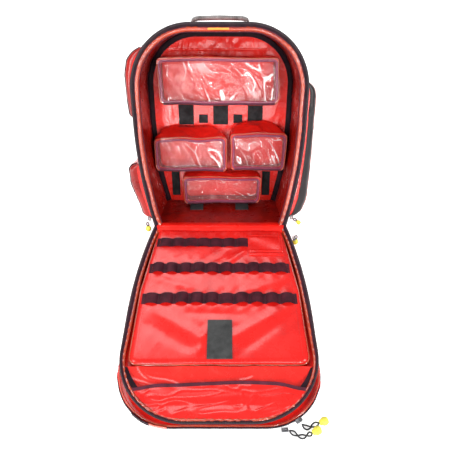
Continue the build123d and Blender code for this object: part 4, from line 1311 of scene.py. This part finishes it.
def strip_pad(name, mids, across, widths, thick, mat, body, nodes, round_end=16.0,
              cap=5.0):
    """A closed, crowned pad along a centre line, with rounded ends, swollen as cloth."""
    line = even(np.asarray(mids, float), 90)
    run = distances(line)
    end = np.clip(np.minimum(run, run[-1] - run) / round_end, 0.0, 1)
    scale = np.sqrt(np.maximum(1 - (1 - end) ** 2, 0.004))
    widths = np.interp(run / run[-1], np.linspace(0, 1, len(widths)), widths)
    sections = np.stack([pad_section(w - round_end * 1.2 * (1 - s), (thick - 2) * (0.35 + 0.65 * s))
                         for w, s in zip(widths, scale)])
    v, f, uv = sweep_data(line, across, sections)
    obj = piece(name, v, f, mat, uv, 0)
    inflate(obj, cap)
    own(obj, body, nodes)
    return obj, line, widths


def pad_trim(name, obj, line, across, widths, outward, body, rim_mat, inset=9.0,
             channels=()):
    """Piping round a pad's edge, and stitching on its outer face."""
    across = unit(across)
    t = unit(np.gradient(line, axis=0))
    a = unit(across - (t @ across)[:, None] * t)
    half = widths[:, None] / 2
    core = slice(4, -4)
    left, right = (line - a * (half - 0.6))[core], (line + a * (half - 0.6))[core]
    ring = np.vstack([left, [line[-1]], right[::-1], [line[0]]])
    for _ in range(3):
        ring = (np.roll(ring, 1, axis=0) + 2 * ring + np.roll(ring, -1, axis=0)) / 4
    ring = even(np.vstack([ring, ring[:1]]), 200)[:-1]
    own(several(f"{name}_piping", [sweep_data(ring, outward, disc(1.9, 10), closed=True)], rim_mat),
        body)
    rows = []
    for sign in (-1, 1):
        row = (line + sign * a * (half - inset))[8:-8]
        rows += stitch_parts(even(dropped(row, -np.asarray(outward), obj, 0.1), 120), outward, 4.6,
                3.0, 0.35, 0.15)
    for x0, x1 in channels:
        row = np.array([x0 + (x1 - x0) * k for k in np.linspace(0, 1, 40)])
        rows += stitch_parts(dropped(row, -np.asarray(outward), obj, 0.1), outward, 4.6, 3.0, 0.35,
                0.15)
    sewn(f"{name}_stitches", rows, body)


# ---- rear panel and its parts ----
def rear_depth(x, h):
    p = np.stack([x, h, 0 * x], axis=-1)
    edge = ease((full_half(h, 3) - np.abs(x)) / 16) * ease((448 - h) / 14) * ease((h + 1) / 14)
    return REAR - 1.6 + edge * (1.0 + 0.5 * creases(p, 191, 85))


g = plate(1.4, -1.0, 130, 110, back, rear_depth)
own(cloth_sheet("rear_panel", g, black_tarp, 8.0, -1), "back_half")
rear_line = even(ring_points(back, [1.3], [REAR - 2.2])[:, 0], 300)
own(sweep("rear_piping", rear_line, INTO_BACK, disc(2.2, 12), red_facing), "back_half")
base_line = [back(x, -1.4, REAR - 2.6) for x in np.linspace(-162, 162, 60)]
own(sweep("rear_base_piping", base_line, INTO_BACK, disc(2.2, 12), red_facing), "back_half")
edge = even(ring_points(back, [9.0], [REAR - 0.9])[:, 0], 300)
own(several("rear_stitches", stitch_parts(edge, INTO_BACK, 5.0, 3.2, 0.35, 0.5), thread),
    "back_half")

for side_name, x in (("left", -60.0), ("right", 60.0)):
    mids = [back(x, h, 212.9) for h in np.linspace(120.5, 383.5, 40)]
    obj, line, widths = strip_pad(f"back_pad_{side_name}", mids, ACROSS, [80, 82, 82, 80], 13.5,
            padding, "back_half", ("back_pads",) if x < 0 else (), 20.0, 4.0)
    channels = [(back(x - 30, h, 214.0), back(x + 30, h, 214.0)) for h in (185.0, 250.0, 315.0)]
    pad_trim(f"back_pad_{side_name}", obj, line, ACROSS, widths, OUTWARD, "back_half",
             tape, 9.0, channels)

mids = [back(x, 28.0, 220.5) for x in np.linspace(-116, 116, 40)]
obj, line, widths = strip_pad("lumbar_cushion", mids, UP_BACK, [62, 72, 72, 62], 28.0, padding,
        "back_half", ("lumbar_pad",), 22.0, 5.0)
channels = [(back(x, 2, 225.0), back(x, 54, 225.0)) for x in (-70.0, 0.0, 70.0)]
pad_trim("lumbar_cushion", obj, line, UP_BACK, widths, OUTWARD, "back_half", tape,
         10.0, channels)

mids = [back(x, 418.0, 212.8) for x in np.linspace(-99, 99, 40)]
obj, line, widths = strip_pad("yoke_pad", mids, UP_BACK, [28, 29, 29, 28], 13.0, padding,
        "back_half", ("yoke_patch",), 8.0, 2.0)
pad_trim("yoke_pad", obj, line, UP_BACK, widths, OUTWARD, "back_half", tape, 6.0)
for side_name, x in (("left", -59.0), ("right", 59.0)):
    box_line = [back(x, 450.8, n) for n in np.linspace(133, 167, 20)]
    own(sweep(f"handle_anchor_{side_name}", box_line, ACROSS, slab(24, 3.0), web), "back_half")
    stitches = []
    for dx, n0, n1 in ((-8, 137, 163), (8, 137, 163)):
        stitches += stitch_parts([back(x + dx, 452.5, n) for n in np.linspace(n0, n1, 20)], UP_BACK,
                3.4, 2.4, 0.35)
    for n in (137, 150, 163):
        stitches += stitch_parts([back(x + dx, 452.5, n) for dx in np.linspace(-8, 8, 14)], UP_BACK,
                3.4, 2.4, 0.35)
    sewn(f"handle_anchor_stitches_{side_name}", stitches, "back_half")

# ---- heel: a padded boot under the base ----
def floor_height(n):
    """Height on the back half's own axis where the floor is, at a depth."""
    return (n * math.sin(LEAN) - HINGE_Z) / math.cos(LEAN)


profile = rounded([(66, -2.5), (82, -14), (96, -21), (110, -26), (134, -31.5),
        (HEEL_FRONT, floor_height(HEEL_FRONT) + 0.5), (180, floor_height(180) + 0.5),
        (206.5, floor_height(206.5) + 0.5), (207.5, -3.5), (140, -2.0), (66, -1.9)], 72, 2)
mid_n, mid_h = profile.mean(axis=0)
rows = []
half = half_width(0, 3) - 11
xs = np.concatenate([np.linspace(-half, -half + 14, 12), np.linspace(-half + 16, half - 16, 66),
        np.linspace(half - 14, half, 12)])
for x in xs:
    end = np.clip((half - abs(x)) / 14, 0, 1)
    s = 0.86 + 0.14 * math.sqrt(1 - (1 - end) ** 2)
    q = np.array([mid_n, mid_h]) + (profile - [mid_n, mid_h]) * [s, s]
    pts = back(x, q[:, 1], q[:, 0])
    swell = 0.7 * creases(pts, 201, 50) * end
    pts = pts + swell[:, None] * UP_BACK
    pts[:, 2] = np.maximum(pts[:, 2], 0.25)
    rows.append(pts)
g = np.array(rows)
own(piece("heel_boot", g.reshape(-1, 3), tube_faces(*g.shape[:2]), boot, grid_uv(g), 50),
    "back_half", ("base_boot",))
line = [back(x, -3.2, 70.0) for x in np.linspace(-half + 4, half - 4, 60)]
own(sweep("heel_binding", line, INTO_BACK, disc(2.0, 10), tape), "back_half")

line = [HINGE + ACROSS * x + (OUT_LID * 0.2 - UP_BACK) * 0.9 for x in np.linspace(-157, 157, 80)]
own(sweep("hinge_cord", line, UP_BACK, disc(1.3, 10), red_inside), "back_half",
    ("hinge_piping",))

# ---- shoulder straps, their ladder locks and the lower webbing ----
WING_HEIGHT, WING_MIDDLE = 37, 243.2     # the hip wings' centre line on the back half
STERNUM_HEIGHT = 290


def on_rear(points, depth):
    return np.array([back(x, h, depth) for x, h in points])


for side_name, sign in (("left", -1), ("right", 1)):
    body = f"strap_{side_name}"
    mids = on_rear([(sign * x, h) for x, h in ((60, 397), (61, 370), (63, 335), (67, 295),
            (71, 250), (78, 210), (86, 170), (96, 127))], 226.3)
    mids = rounded(mids, 60, 4)
    obj, line, widths = strip_pad(f"shoulder_pad_{side_name}", mids, ACROSS,
            [56, 57, 58, 57, 54, 47], 11.5, padding, body,
            (f"shoulder_strap_{side_name}",), 15.0, 4.0)
    pad_trim(f"shoulder_pad_{side_name}", obj, line, ACROSS, widths, OUTWARD, body,
             tape, 8.0)
    run = dropped(line[3:-2], -OUTWARD, obj, 1.2)
    own(sweep(f"strap_webbing_{side_name}", even(run, 90), ACROSS, slab(25, 1.8), web), body)
    for at in (0.22, 0.5, 0.78):
        k = int(at * (len(run) - 1))
        t = unit(run[k + 1] - run[k - 1])
        a = np.cross(OUTWARD, t)
        stitches = []
        for s in (-8, 0, 8):
            stitches += stitch_parts([run[k] + t * s + a * c + OUTWARD * 1.0
                    for c in np.linspace(-10, 10, 12)], OUTWARD, 2.6, 1.9, 0.35)
        sewn(f"strap_bar_tack_{side_name}_{int(at * 100)}", stitches, body)
    # ladder lock
    turn = math.radians(8) * sign
    t = ACROSS * math.cos(turn) - UP_BACK * math.sin(turn)
    u = np.cross(OUTWARD, t)
    c = back(sign * 98.5, 112, 226.6)
    bars = [block_data(c + t * 16 * s, (t, u, OUTWARD), (4.2, 20, 6.2), 1.5) for s in (-1, 1)]
    bars += [block_data(c + u * s, (t, u, OUTWARD), (34, 3.6, 5.0), 1.4) for s in (-8.2, 0.2)]
    bars += [block_data(c + u * 7.6 + OUTWARD * 1.0, (t, u, OUTWARD), (36, 4.8, 5.2), 1.7)]
    own(several(f"ladder_buckle_{side_name}", bars, plastic, 30), body,
        (f"ladder_lock_{side_name}",))
    loop = [c + u * 14 - OUTWARD * 0.6, c + u * 8.5 - OUTWARD * 3.1, c + u * 3 - OUTWARD * 1.0,
            c + u * 0.2 + OUTWARD * 3.4, c - u * 4 - OUTWARD * 0.6, c - u * 8.2 + OUTWARD * 3.4,
            c - u * 10.5 + OUTWARD * 1.0, c - u * 12 - OUTWARD * 1.0]
    own(sweep(f"ladder_webbing_{side_name}", rounded(loop, 50, 5), t, slab(25, 1.5), web), body)
    # lower webbing, from the ladder lock's fold to the corner of the base
    low = rounded([back(sign * 101, 107, 207.6), back(sign * 112, 90, 207.4),
                   back(sign * 136, 66, 207.3), back(sign * 158, 47, 207.2)], 60, 3)
    own(sweep(f"lower_webbing_{side_name}", low, (UP_BACK + sign * 0.9 * ACROSS) / 1.35,
              slab(25, 1.7), web), "back_half",
              ("lower_straps",) if sign < 0 else ())
    d = unit(low[-1] - low[-8])
    a = np.cross(OUTWARD, d)
    stitches = []
    for s in (3, 15):
        stitches += stitch_parts([low[-1] - d * s + a * c2 + OUTWARD * 1.0
                for c2 in np.linspace(-10, 10, 14)], OUTWARD, 3.0, 2.1, 0.35)
    sewn(f"lower_webbing_stitches_{side_name}", stitches, "back_half")

    # sternum strap: webbing, adjuster and one half of a side-release buckle
    n0 = 225.6
    web_line = [back(sign * x, STERNUM_HEIGHT, n) for x,
                n in ((40, n0 + 6.8), (37, n0 + 2.0), (30, n0), (22, n0), (16, n0))]
    own(sweep(f"sternum_webbing_{side_name}", rounded(web_line, 40, 3), UP_BACK, slab(19, 1.6),
              web), body)
    cx = back(sign * 12.3, STERNUM_HEIGHT, n0)
    s_ax = ACROSS * sign
    clip_axes = (s_ax, UP_BACK, OUTWARD)
    if sign < 0:
        shell = [block_data(cx + s_ax * 1.5, clip_axes, (19.5, 26.5, 5.8), 2.2),
                 block_data(cx + s_ax * 9.0, clip_axes, (4.0, 27.5, 5.0), 1.6),
                 block_data(cx - s_ax * 7.5, clip_axes, (5.0, 22.0, 5.4), 1.8),
                 block_data(cx + s_ax * 1.0 + OUTWARD * 2.6, clip_axes, (9.0, 12.0, 1.2), 0.5)]
    else:
        shell = [block_data(cx + s_ax * 6.0, clip_axes, (10.5, 26.5, 5.6), 2.0)]
        shell += [block_data(cx + s_ax * -3.5 + UP_BACK * k, clip_axes, (13.0, w, 3.6), 1.3)
                  for k, w in ((-10.6, 4.4), (0, 3.4), (10.6, 4.4))]
        shell += [block_data(cx + s_ax * -9.0 + UP_BACK * k, clip_axes, (4.5, 6.2, 4.2), 1.5)
                  for k in (-10.2, 10.2)]
    own(several(f"sternum_clip_{side_name}", shell, plastic, 30), body,
        (f"sternum_buckle_{side_name}",))

    # hip belt wing with its webbing
    body = f"belt_{side_name}"
    mids = [back(sign * x, WING_HEIGHT, WING_MIDDLE) for x in np.linspace(13, 117, 40)]
    obj, line, widths = strip_pad(f"hip_pad_{side_name}", mids, UP_BACK, [50, 57, 57, 50], 11.5,
            padding, body, (f"hip_wing_{side_name}",), 14.0, 3.5)
    pad_trim(f"hip_pad_{side_name}", obj, line, UP_BACK, widths, OUTWARD, body,
             tape, 8.0)
    run = dropped([back(sign * x, WING_HEIGHT, WING_MIDDLE) for x in np.linspace(110, 20, 60)],
                  -OUTWARD, obj, 1.1)
    own(sweep(f"belt_webbing_{side_name}", run, UP_BACK, slab(34, 1.7), web), body)

# hip buckle halves
REAR_AXES = (ACROSS, UP_BACK, OUTWARD)
c = back(-52, WING_HEIGHT, 254.0)
shell = [block_data(c, REAR_AXES, (20.5, 36.5, 8.2), 2.6)]
shell += [block_data(back(-31.5, h, 254.0), REAR_AXES, (23.0, w, 5.0), 1.6) for h,
          w in ((23.5, 5.0), (37, 4.6), (50.5, 5.0))]
shell += [block_data(back(-23.0, h, 254.0), REAR_AXES, (7.0, 8.0, 6.4), 2.2) for h in (24.0, 50.0)]
shell += [block_data(c + ACROSS * s + OUTWARD * 3.9, REAR_AXES, (1.8, 27.0, 1.0), 0.4)
          for s in (-6, -2, 2, 6)]
own(several("hip_clip_male", shell, plastic, 30), "belt_left",
    ("hip_buckle_male",))
c = back(45, WING_HEIGHT, 254.6)
shell = [block_data(c + ACROSS * 8.0, REAR_AXES, (27.0, 41.0, 9.6), 3.0)]
shell += [block_data(c + ACROSS * -13.0 + UP_BACK * s, REAR_AXES, (18.0, 6.0, 9.2), 2.4)
          for s in (-17.4, 17.4)]
shell += [block_data(c + ACROSS * -13.0 + OUTWARD * s, REAR_AXES, (18.0, 33.0, 1.9), 0.7)
          for s in (-3.8, 3.8)]
shell += [block_data(c + ACROSS * (9 + s) + OUTWARD * 4.6, REAR_AXES, (1.8, 25.0, 1.0), 0.4)
          for s in (-6, -2, 2, 6)]
own(several("hip_clip_female", shell, plastic, 30), "belt_right",
    ("hip_buckle_female",))

# ---- grab handle: ribbed webbing over a soft core ----
HANDLE_AXIS = 454.0          # the handle hinge's height on the back half
half_arch = [(55, HANDLE_AXIS), (63, 454.2), (67, 456.5), (67.5, 461.5), (64, 466.3), (52, 469.4)]
arch = rounded([back(x, h, 150) for x, h in [(-x, h) for x, h in half_arch] + [(0, 470.6)]
                + half_arch[::-1]], 420, 6)
core = np.abs(np.linspace(-1, 1, 420))
fat = 3.8 + 6.4 * ease((0.82 - core) / 0.14)
wide = np.interp(core, [0, 0.62, 0.70, 0.78, 0.84, 0.88, 1], [22, 22, 18, 12, 7, 5, 5])
sections = np.stack([pad_section(w, t, 24, 0.55) for w, t in zip(wide, fat)])
ribs = (1 + 0.08 * np.sin(np.arange(420) * 2 * math.pi / 10.0)[:, None, None]
        * ease((0.82 - core) / 0.04)[:, None, None])
own(sweep("grab_handle", arch, INTO_BACK, sections * ribs, grip), "handle",
    ("top_handle",))
roll = np.array([(5.5, -6.0), (4.3, -2.5), (3.7, 0), (2.7, 2.7), (0, 3.8), (-2.7, 2.7), (-3.7, 0),
        (-4.3, -2.5), (-5.5, -6.0)])
for side_name, x in (("left", -58.0), ("right", 58.0)):
    own(sweep(f"handle_roll_{side_name}", [back(x + dx, HANDLE_AXIS, 150)
            for dx in np.linspace(-5, 5, 8)], INTO_BACK, roll, web), "back_half")

# ---- side pockets ----
POCKET_NEAR, POCKET_FAR = 27, 150


def side_pocket(name, sign, rows, node_name, face_mat, seed):
    """A pocket on the side wall: rows are (height, reach from the middle)."""
    hs = np.array([r[0] for r in rows], float)
    reach = np.array([r[1] for r in rows], float)
    h = np.linspace(hs[0], hs[-1], 60)
    r = np.interp(h, hs, reach)
    for _ in range(4):
        r[1:-1] = (r[:-2] + 2 * r[1:-1] + r[2:]) / 4
    a = np.linspace(0, math.pi, 34)
    mid, half = (POCKET_NEAR + POCKET_FAR) / 2, (POCKET_FAR - POCKET_NEAR) / 2
    grid = []
    for height, out in zip(h, r):
        base = full_half(height, 5.0)
        cx = np.cos(a)
        n = mid - half * np.sign(cx) * np.abs(cx) ** 0.42
        x = base + np.maximum(out - base, 1.2) * np.sin(a) ** 0.36
        grid.append(back(sign * x, height, n))
    g = np.array(grid)
    centre = back(sign * 185.0, h, mid)[:, None, :]
    outwards = unit(g - centre)
    ends = ease(np.minimum(h - h[0], h[-1] - h) / 10)[:, None]
    g = (g - outwards * (0.4 - 1.5 * creases(g * [1, 1, 0.7], seed, 60, 0.5) * ends
            * np.sin(a)[None, :])[..., None])
    own(piece(f"{name}_shell", g.reshape(-1, 3), tube_faces(*g.shape[:2]), red, grid_uv(g), 50),
        "back_half", (node_name,))
    # the face towards the opening, its bound edge and zip
    front = g[1:-1, 1:11]
    own(cloth_sheet(f"{name}_face", front - INTO_BACK * 0.6 + sign * ACROSS * 0.2, face_mat, 0.9,
                    -1), "back_half")
    edge = g[1:-1, 11] - INTO_BACK * 0.4 + sign * ACROSS * 0.6
    own(sweep(f"{name}_binding", even(edge, 120), INTO_BACK, disc(1.9, 10),
              red_facing if sign > 0 else tape), "back_half")
    zip_line = even(g[4:-4, 15] + sign * ACROSS * 0.8, 120)
    own(sweep(f"{name}_zip_tape", zip_line, INTO_BACK, slab(12, 1.3), tape), "back_half")
    teeth = []
    fine = even(zip_line + sign * ACROSS * 0.7, 2
                * int(np.linalg.norm(zip_line[-1] - zip_line[0]) / 3.2))
    for k in range(1, len(fine) - 1):
        t = unit(fine[k + 1] - fine[k - 1])
        teeth.append(block_data(fine[k], (t, INTO_BACK, np.cross(t, INTO_BACK)), (1.1, 4.4, 1.2),
                0.35, 1))
    own(several(f"{name}_zip_coil", teeth, coil), "back_half")
    for level, where_h in (("low", 0), ("high", -1)):
        own(sweep(f"{name}_end_{level}", even(g[where_h][1:-1], 80), UP_BACK, disc(2.0, 10), tape),
            "back_half")
    return g


# the left pockets' faces take the darkened red: painted shade
side_pocket("pocket_upper_left", -1, [(251, 176), (256, 208), (300, 213), (350, 213), (380, 207),
        (398, 190), (407, 168)], "side_pocket_upper_left", red_shaded, 301)
side_pocket("pocket_lower_left", -1, [(5, 168), (12, 196), (50, 207), (92, 222), (135, 224),
        (147, 214), (150, 190)], "side_pocket_lower_left", red_shaded, 311)
right_shell = side_pocket("pocket_right", 1, [(8, 168), (14, 202), (60, 218), (140, 220),
        (240, 220), (312, 220), (328, 212), (337, 190)], "side_pocket_right", black_tarp, 321)
path = [back(-full_half(230, 0.0) - 0.6, 237, n) for n in np.linspace(14, 196, 60)]
own(sweep("side_strap_left", path, UP_BACK, slab(20, 1.8), web), "back_half")
path = right_shell[47][1:-1]
middle = path.mean(axis=0)
path = path + unit(path - middle) * 1.4
own(sweep("side_strap_right", even(path, 90), UP_BACK, slab(20, 1.8), web), "back_half")

# ---- front pocket under the lid ----
FRONT = (394.0, 455.0, 112.0)       # its width, length and corner radius
POCKET_OUT, POCKET_N = outline(0.5, *FRONT)
POCKET_IN = POCKET_N[:, :1] * ACROSS + POCKET_N[:, 1:] * OUT_LID
BASE_Z = 1.4                        # how far the lower face stays off the floor


def floor_depth(along, lift=0.0):
    """Depth in the lid where the floor is, at a place along it."""
    return (HINGE_Z - lift - np.asarray(along, float) * math.sin(SLOPE)) / math.cos(SLOPE)


rows = []
q = POCKET_OUT
top = lid_depth(q[:, 1]) + 3.6
low = np.maximum(floor_depth(q[:, 1], 0.5), top + 1.4)
for s in np.linspace(0, 1, 22):
    depth = top + (low - top) * s
    pts3 = lid(q[:, 0], q[:, 1], depth)
    room = np.clip((low - top) / 14.0, 0.12, 1)
    swell = math.sin(math.pi * min(1, s * 0.92 + 0.06))
    fold = creases(pts3 * [1, 1, 1.6], 331, 64, 0.55)
    inset = 0.5 - swell * room * (7.5 + 3.2 * fold) + 3.0 * (1 - s) ** 3
    q2 = q + POCKET_N * inset[:, None]
    pts3 = lid(q2[:, 0], q2[:, 1], depth)
    pts3[:, 2] = np.maximum(pts3[:, 2], 0.4)
    rows.append(pts3)
outer = np.array(rows).transpose(1, 0, 2)
inner = outer + POCKET_IN[:, None, :] * 2.2
loop = np.concatenate([outer, inner[:, ::-1]], axis=1)
own(piece("front_pocket_side", loop.reshape(-1, 3), tube_faces(*loop.shape[:2]), red_gloss,
          grid_uv(loop), 50), "lid", ("front_pocket",))


def pocket_base_depth(x, al):
    p = np.stack([x, al, 0 * x], axis=-1)
    edge = (ease((full_half(al, 2, *FRONT) - np.abs(x)) / 20) * ease((450 - al) / 18)
            * ease((al - 1) / 14))
    return np.maximum(floor_depth(al, 0.5) - edge * 0.8 * (1 + creases(p, 341, 90)),
            lid_depth(al) + 3.4)


g = plate(2.6, 1.0, 110, 90, lid, pocket_base_depth, *FRONT)
g[..., 2] = np.maximum(g[..., 2], BASE_Z)
own(cloth_sheet("front_pocket_base", g, red, 1.0, -1), "lid")
seam = POCKET_OUT + POCKET_N * 12.0
seam = seam[seam[:, 1] > 14]
line = lid(seam[:, 0], seam[:, 1], pocket_base_depth(seam[:, 0], seam[:, 1]))
line[:, 2] = np.maximum(line[:, 2], BASE_Z) - 0.95
own(several("front_pocket_base_stitches", stitch_parts(even(line, 300), [0, 0, -1.0], 5.0, 3.2,
        0.35, 0.1), thread), "lid")
half = half_width(0.5, 2.0, FRONT[0])
x = np.linspace(-half, half, 90)
rows = []
for s in np.linspace(0, 1, 12):
    d = 61.0 + (floor_depth(0.6, 0.6) - 61.0) * s
    p = np.stack([x, 0 * x + d, 0 * x], axis=-1)
    rows.append(lid(x, 1.2 - 1.0 * math.sin(math.pi * s) * (1 + 0.5 * creases(p, 351, 50)), d))
g = np.array(rows)
own(cloth_sheet("front_pocket_end", g, red, 1.2, -1), "lid")
seam_line = even(outer[:, 1] + np.array([0, 0, 0.6]), 300)
own(sweep("front_pocket_piping", seam_line, UPRIGHT, disc(1.5, 10), red_facing), "lid")
keep_on = POCKET_OUT[:, 1] > 58
zip_line = outer[keep_on][:, -3]
zip_line = even(np.stack([zip_line[:, 0], zip_line[:, 1], np.full(len(zip_line), 3.2)], axis=1)
                - POCKET_IN[keep_on], 260)
own(sweep("front_pocket_zip_tape", zip_line, UPRIGHT, slab(5.2, 1.6), tape), "lid",
    ("front_pocket_zip",))
teeth = []
fine = even(zip_line, 340)
for k in range(2, 338):
    t = unit(fine[k + 1] - fine[k - 1])
    w = np.cross(UPRIGHT, t)
    teeth.append(block_data(fine[k] + w * -0.9 * np.sign(np.dot(w,
            (HINGE + [0, -230, -60]) - fine[k])), (t, UPRIGHT, w), (1.6, 3.0, 1.0), 0.3, 1))
own(several("front_pocket_zip_coil", teeth, coil), "lid")

for name, first, last, row, width, mat, slot_name in (
        ("front_pocket_tab", -124, -88, 15, 8.5, red_facing, "red_tarpaulin"),
        ("front_pocket_zip_end", -156, -123, 13, 10.0, tape, "black_tape")):
    near = (POCKET_OUT[:, 0] > first) & (POCKET_OUT[:, 0] < last) & (POCKET_OUT[:, 1] > 300)
    line = even(outer[near][:, row] - POCKET_IN[near] * 1.4, 24)
    line[:, 2] = np.maximum(line[:, 2], width / 2 + 0.5)
    own(sweep(name, line, UPRIGHT, slab(width, 1.8), mat), "lid")

# ---- sliders and the hanging pulls ----
def slider(name, centre, along, up, body, node_name=None):
    t = unit(along)
    u = unit(np.asarray(up, float) - np.dot(up, t) * t)
    w = np.cross(t, u)
    c = np.asarray(centre, float)
    parts = [block_data(c + u * 1.9, (t, w, u), (12.5, 7.0, 1.5), 0.6),
             block_data(c - u * 1.9, (t, w, u), (12.0, 6.6, 1.5), 0.6),
             block_data(c + t * 4.0, (t, w, u), (3.0, 2.2, 4.2), 0.7)]
    bridge = rounded([c + t * 4.5 + u * 2.4, c + t * 3.2 + u * 3.9, c + u * 4.2,
            c - t * 3.0 + u * 3.9, c - t * 4.4 + u * 2.4], 24, 2)
    parts.append(sweep_data(bridge, w, slab(2.6, 1.0)))
    obj = several(name, parts, gunmetal, 30)
    own(obj, body, (node_name,) if node_name else ())


def hanging_pull(name, top, low, body, loop_node=None, end_node=None, scale=1.0):
    """A doubled cord hanging from a slider, with its moulded end."""
    top, low = np.asarray(top, float), np.asarray(low, float)
    d = unit(low - top)
    w = unit(np.cross(d, [0, 1.0, 0]))
    span = np.linalg.norm(low - top) + 1.5
    parts = []
    for s in (-1, 1):
        path = rounded([top - d * 0.5, top + d * 1.5 + w * s * 2.6,
                        top + d * span * 0.5 + w * s * 2.9, top + d * (span - 1.5) + w * s * 1.4,
                        top + d * span], 26, 3)
        parts.append(sweep_data(path, np.cross(d, w), disc(1.35, 10)))
    own(several(f"{name}_loop", parts, cord_mat), body,
        (loop_node,) if loop_node else ())
    moulded_end(f"{name}_end", low, d, body, end_node, scale)


for side_name, where, sign, at in (("left", back, -1, 19.0), ("right", lid, 1, 40.0)):
    x = sign * (half_width(at) + 4.6)
    up = sign * ACROSS
    along = (UP_BACK if where is back else OUT_LID)
    slider(f"main_slider_metal_{side_name}", where(x, at, 0.0), along, up, f"slider_{side_name}",
           f"main_slider_{side_name}")
    lo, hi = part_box(f"main_pull_loop_{side_name}")
    lo, hi = np.array(lo) / MM, np.array(hi) / MM
    end_lo, end_hi = (np.array(v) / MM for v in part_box(f"main_pull_end_{side_name}"))
    mid = (end_lo + end_hi) / 2
    top = np.array([(lo[0] + hi[0]) / 2, (lo[1] + hi[1]) / 2, hi[2] - 1.0])
    hanging_pull(f"main_pull_{side_name}", top, [mid[0], mid[1], end_hi[2]], f"pull_{side_name}",
                 f"main_pull_loop_{side_name}", f"main_pull_end_{side_name}", 0.92)
for key, centre, along in (("a", (144.2, HINGE_Y - 436.8, 4.6), (0.8625, 0.506, 0.0)),
        ("b", (117.0, HINGE_Y - 453.0, 4.6), (-1.0, -0.0357, 0.0))):
    slider(f"pocket_slider_metal_{key}", centre, along, [0, 0, 1.0], f"slider_{key}",
           f"pocket_slider_{key}")

# a second pair's free slider, seen at the hinge's right end
x = half_width(23.0) + 4.6
slider("main_slider_metal_spare", back(x, 23.0, 0.0), UP_BACK, ACROSS, "back_half")
top = back(x + 6.0, 19.0, -0.5)
hanging_pull("main_pull_spare", top, top + np.array([7.0, -3.0, -4.5]), "back_half", scale=0.7)

for node_name, mat in (("frame_sheet", sheet_plastic), ("frame_stays", alu)):
    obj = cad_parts[node_name]
    if not obj.material_slots:
        obj.data.materials.append(mat)
    for material_slot in obj.material_slots:
        material_slot.material = mat
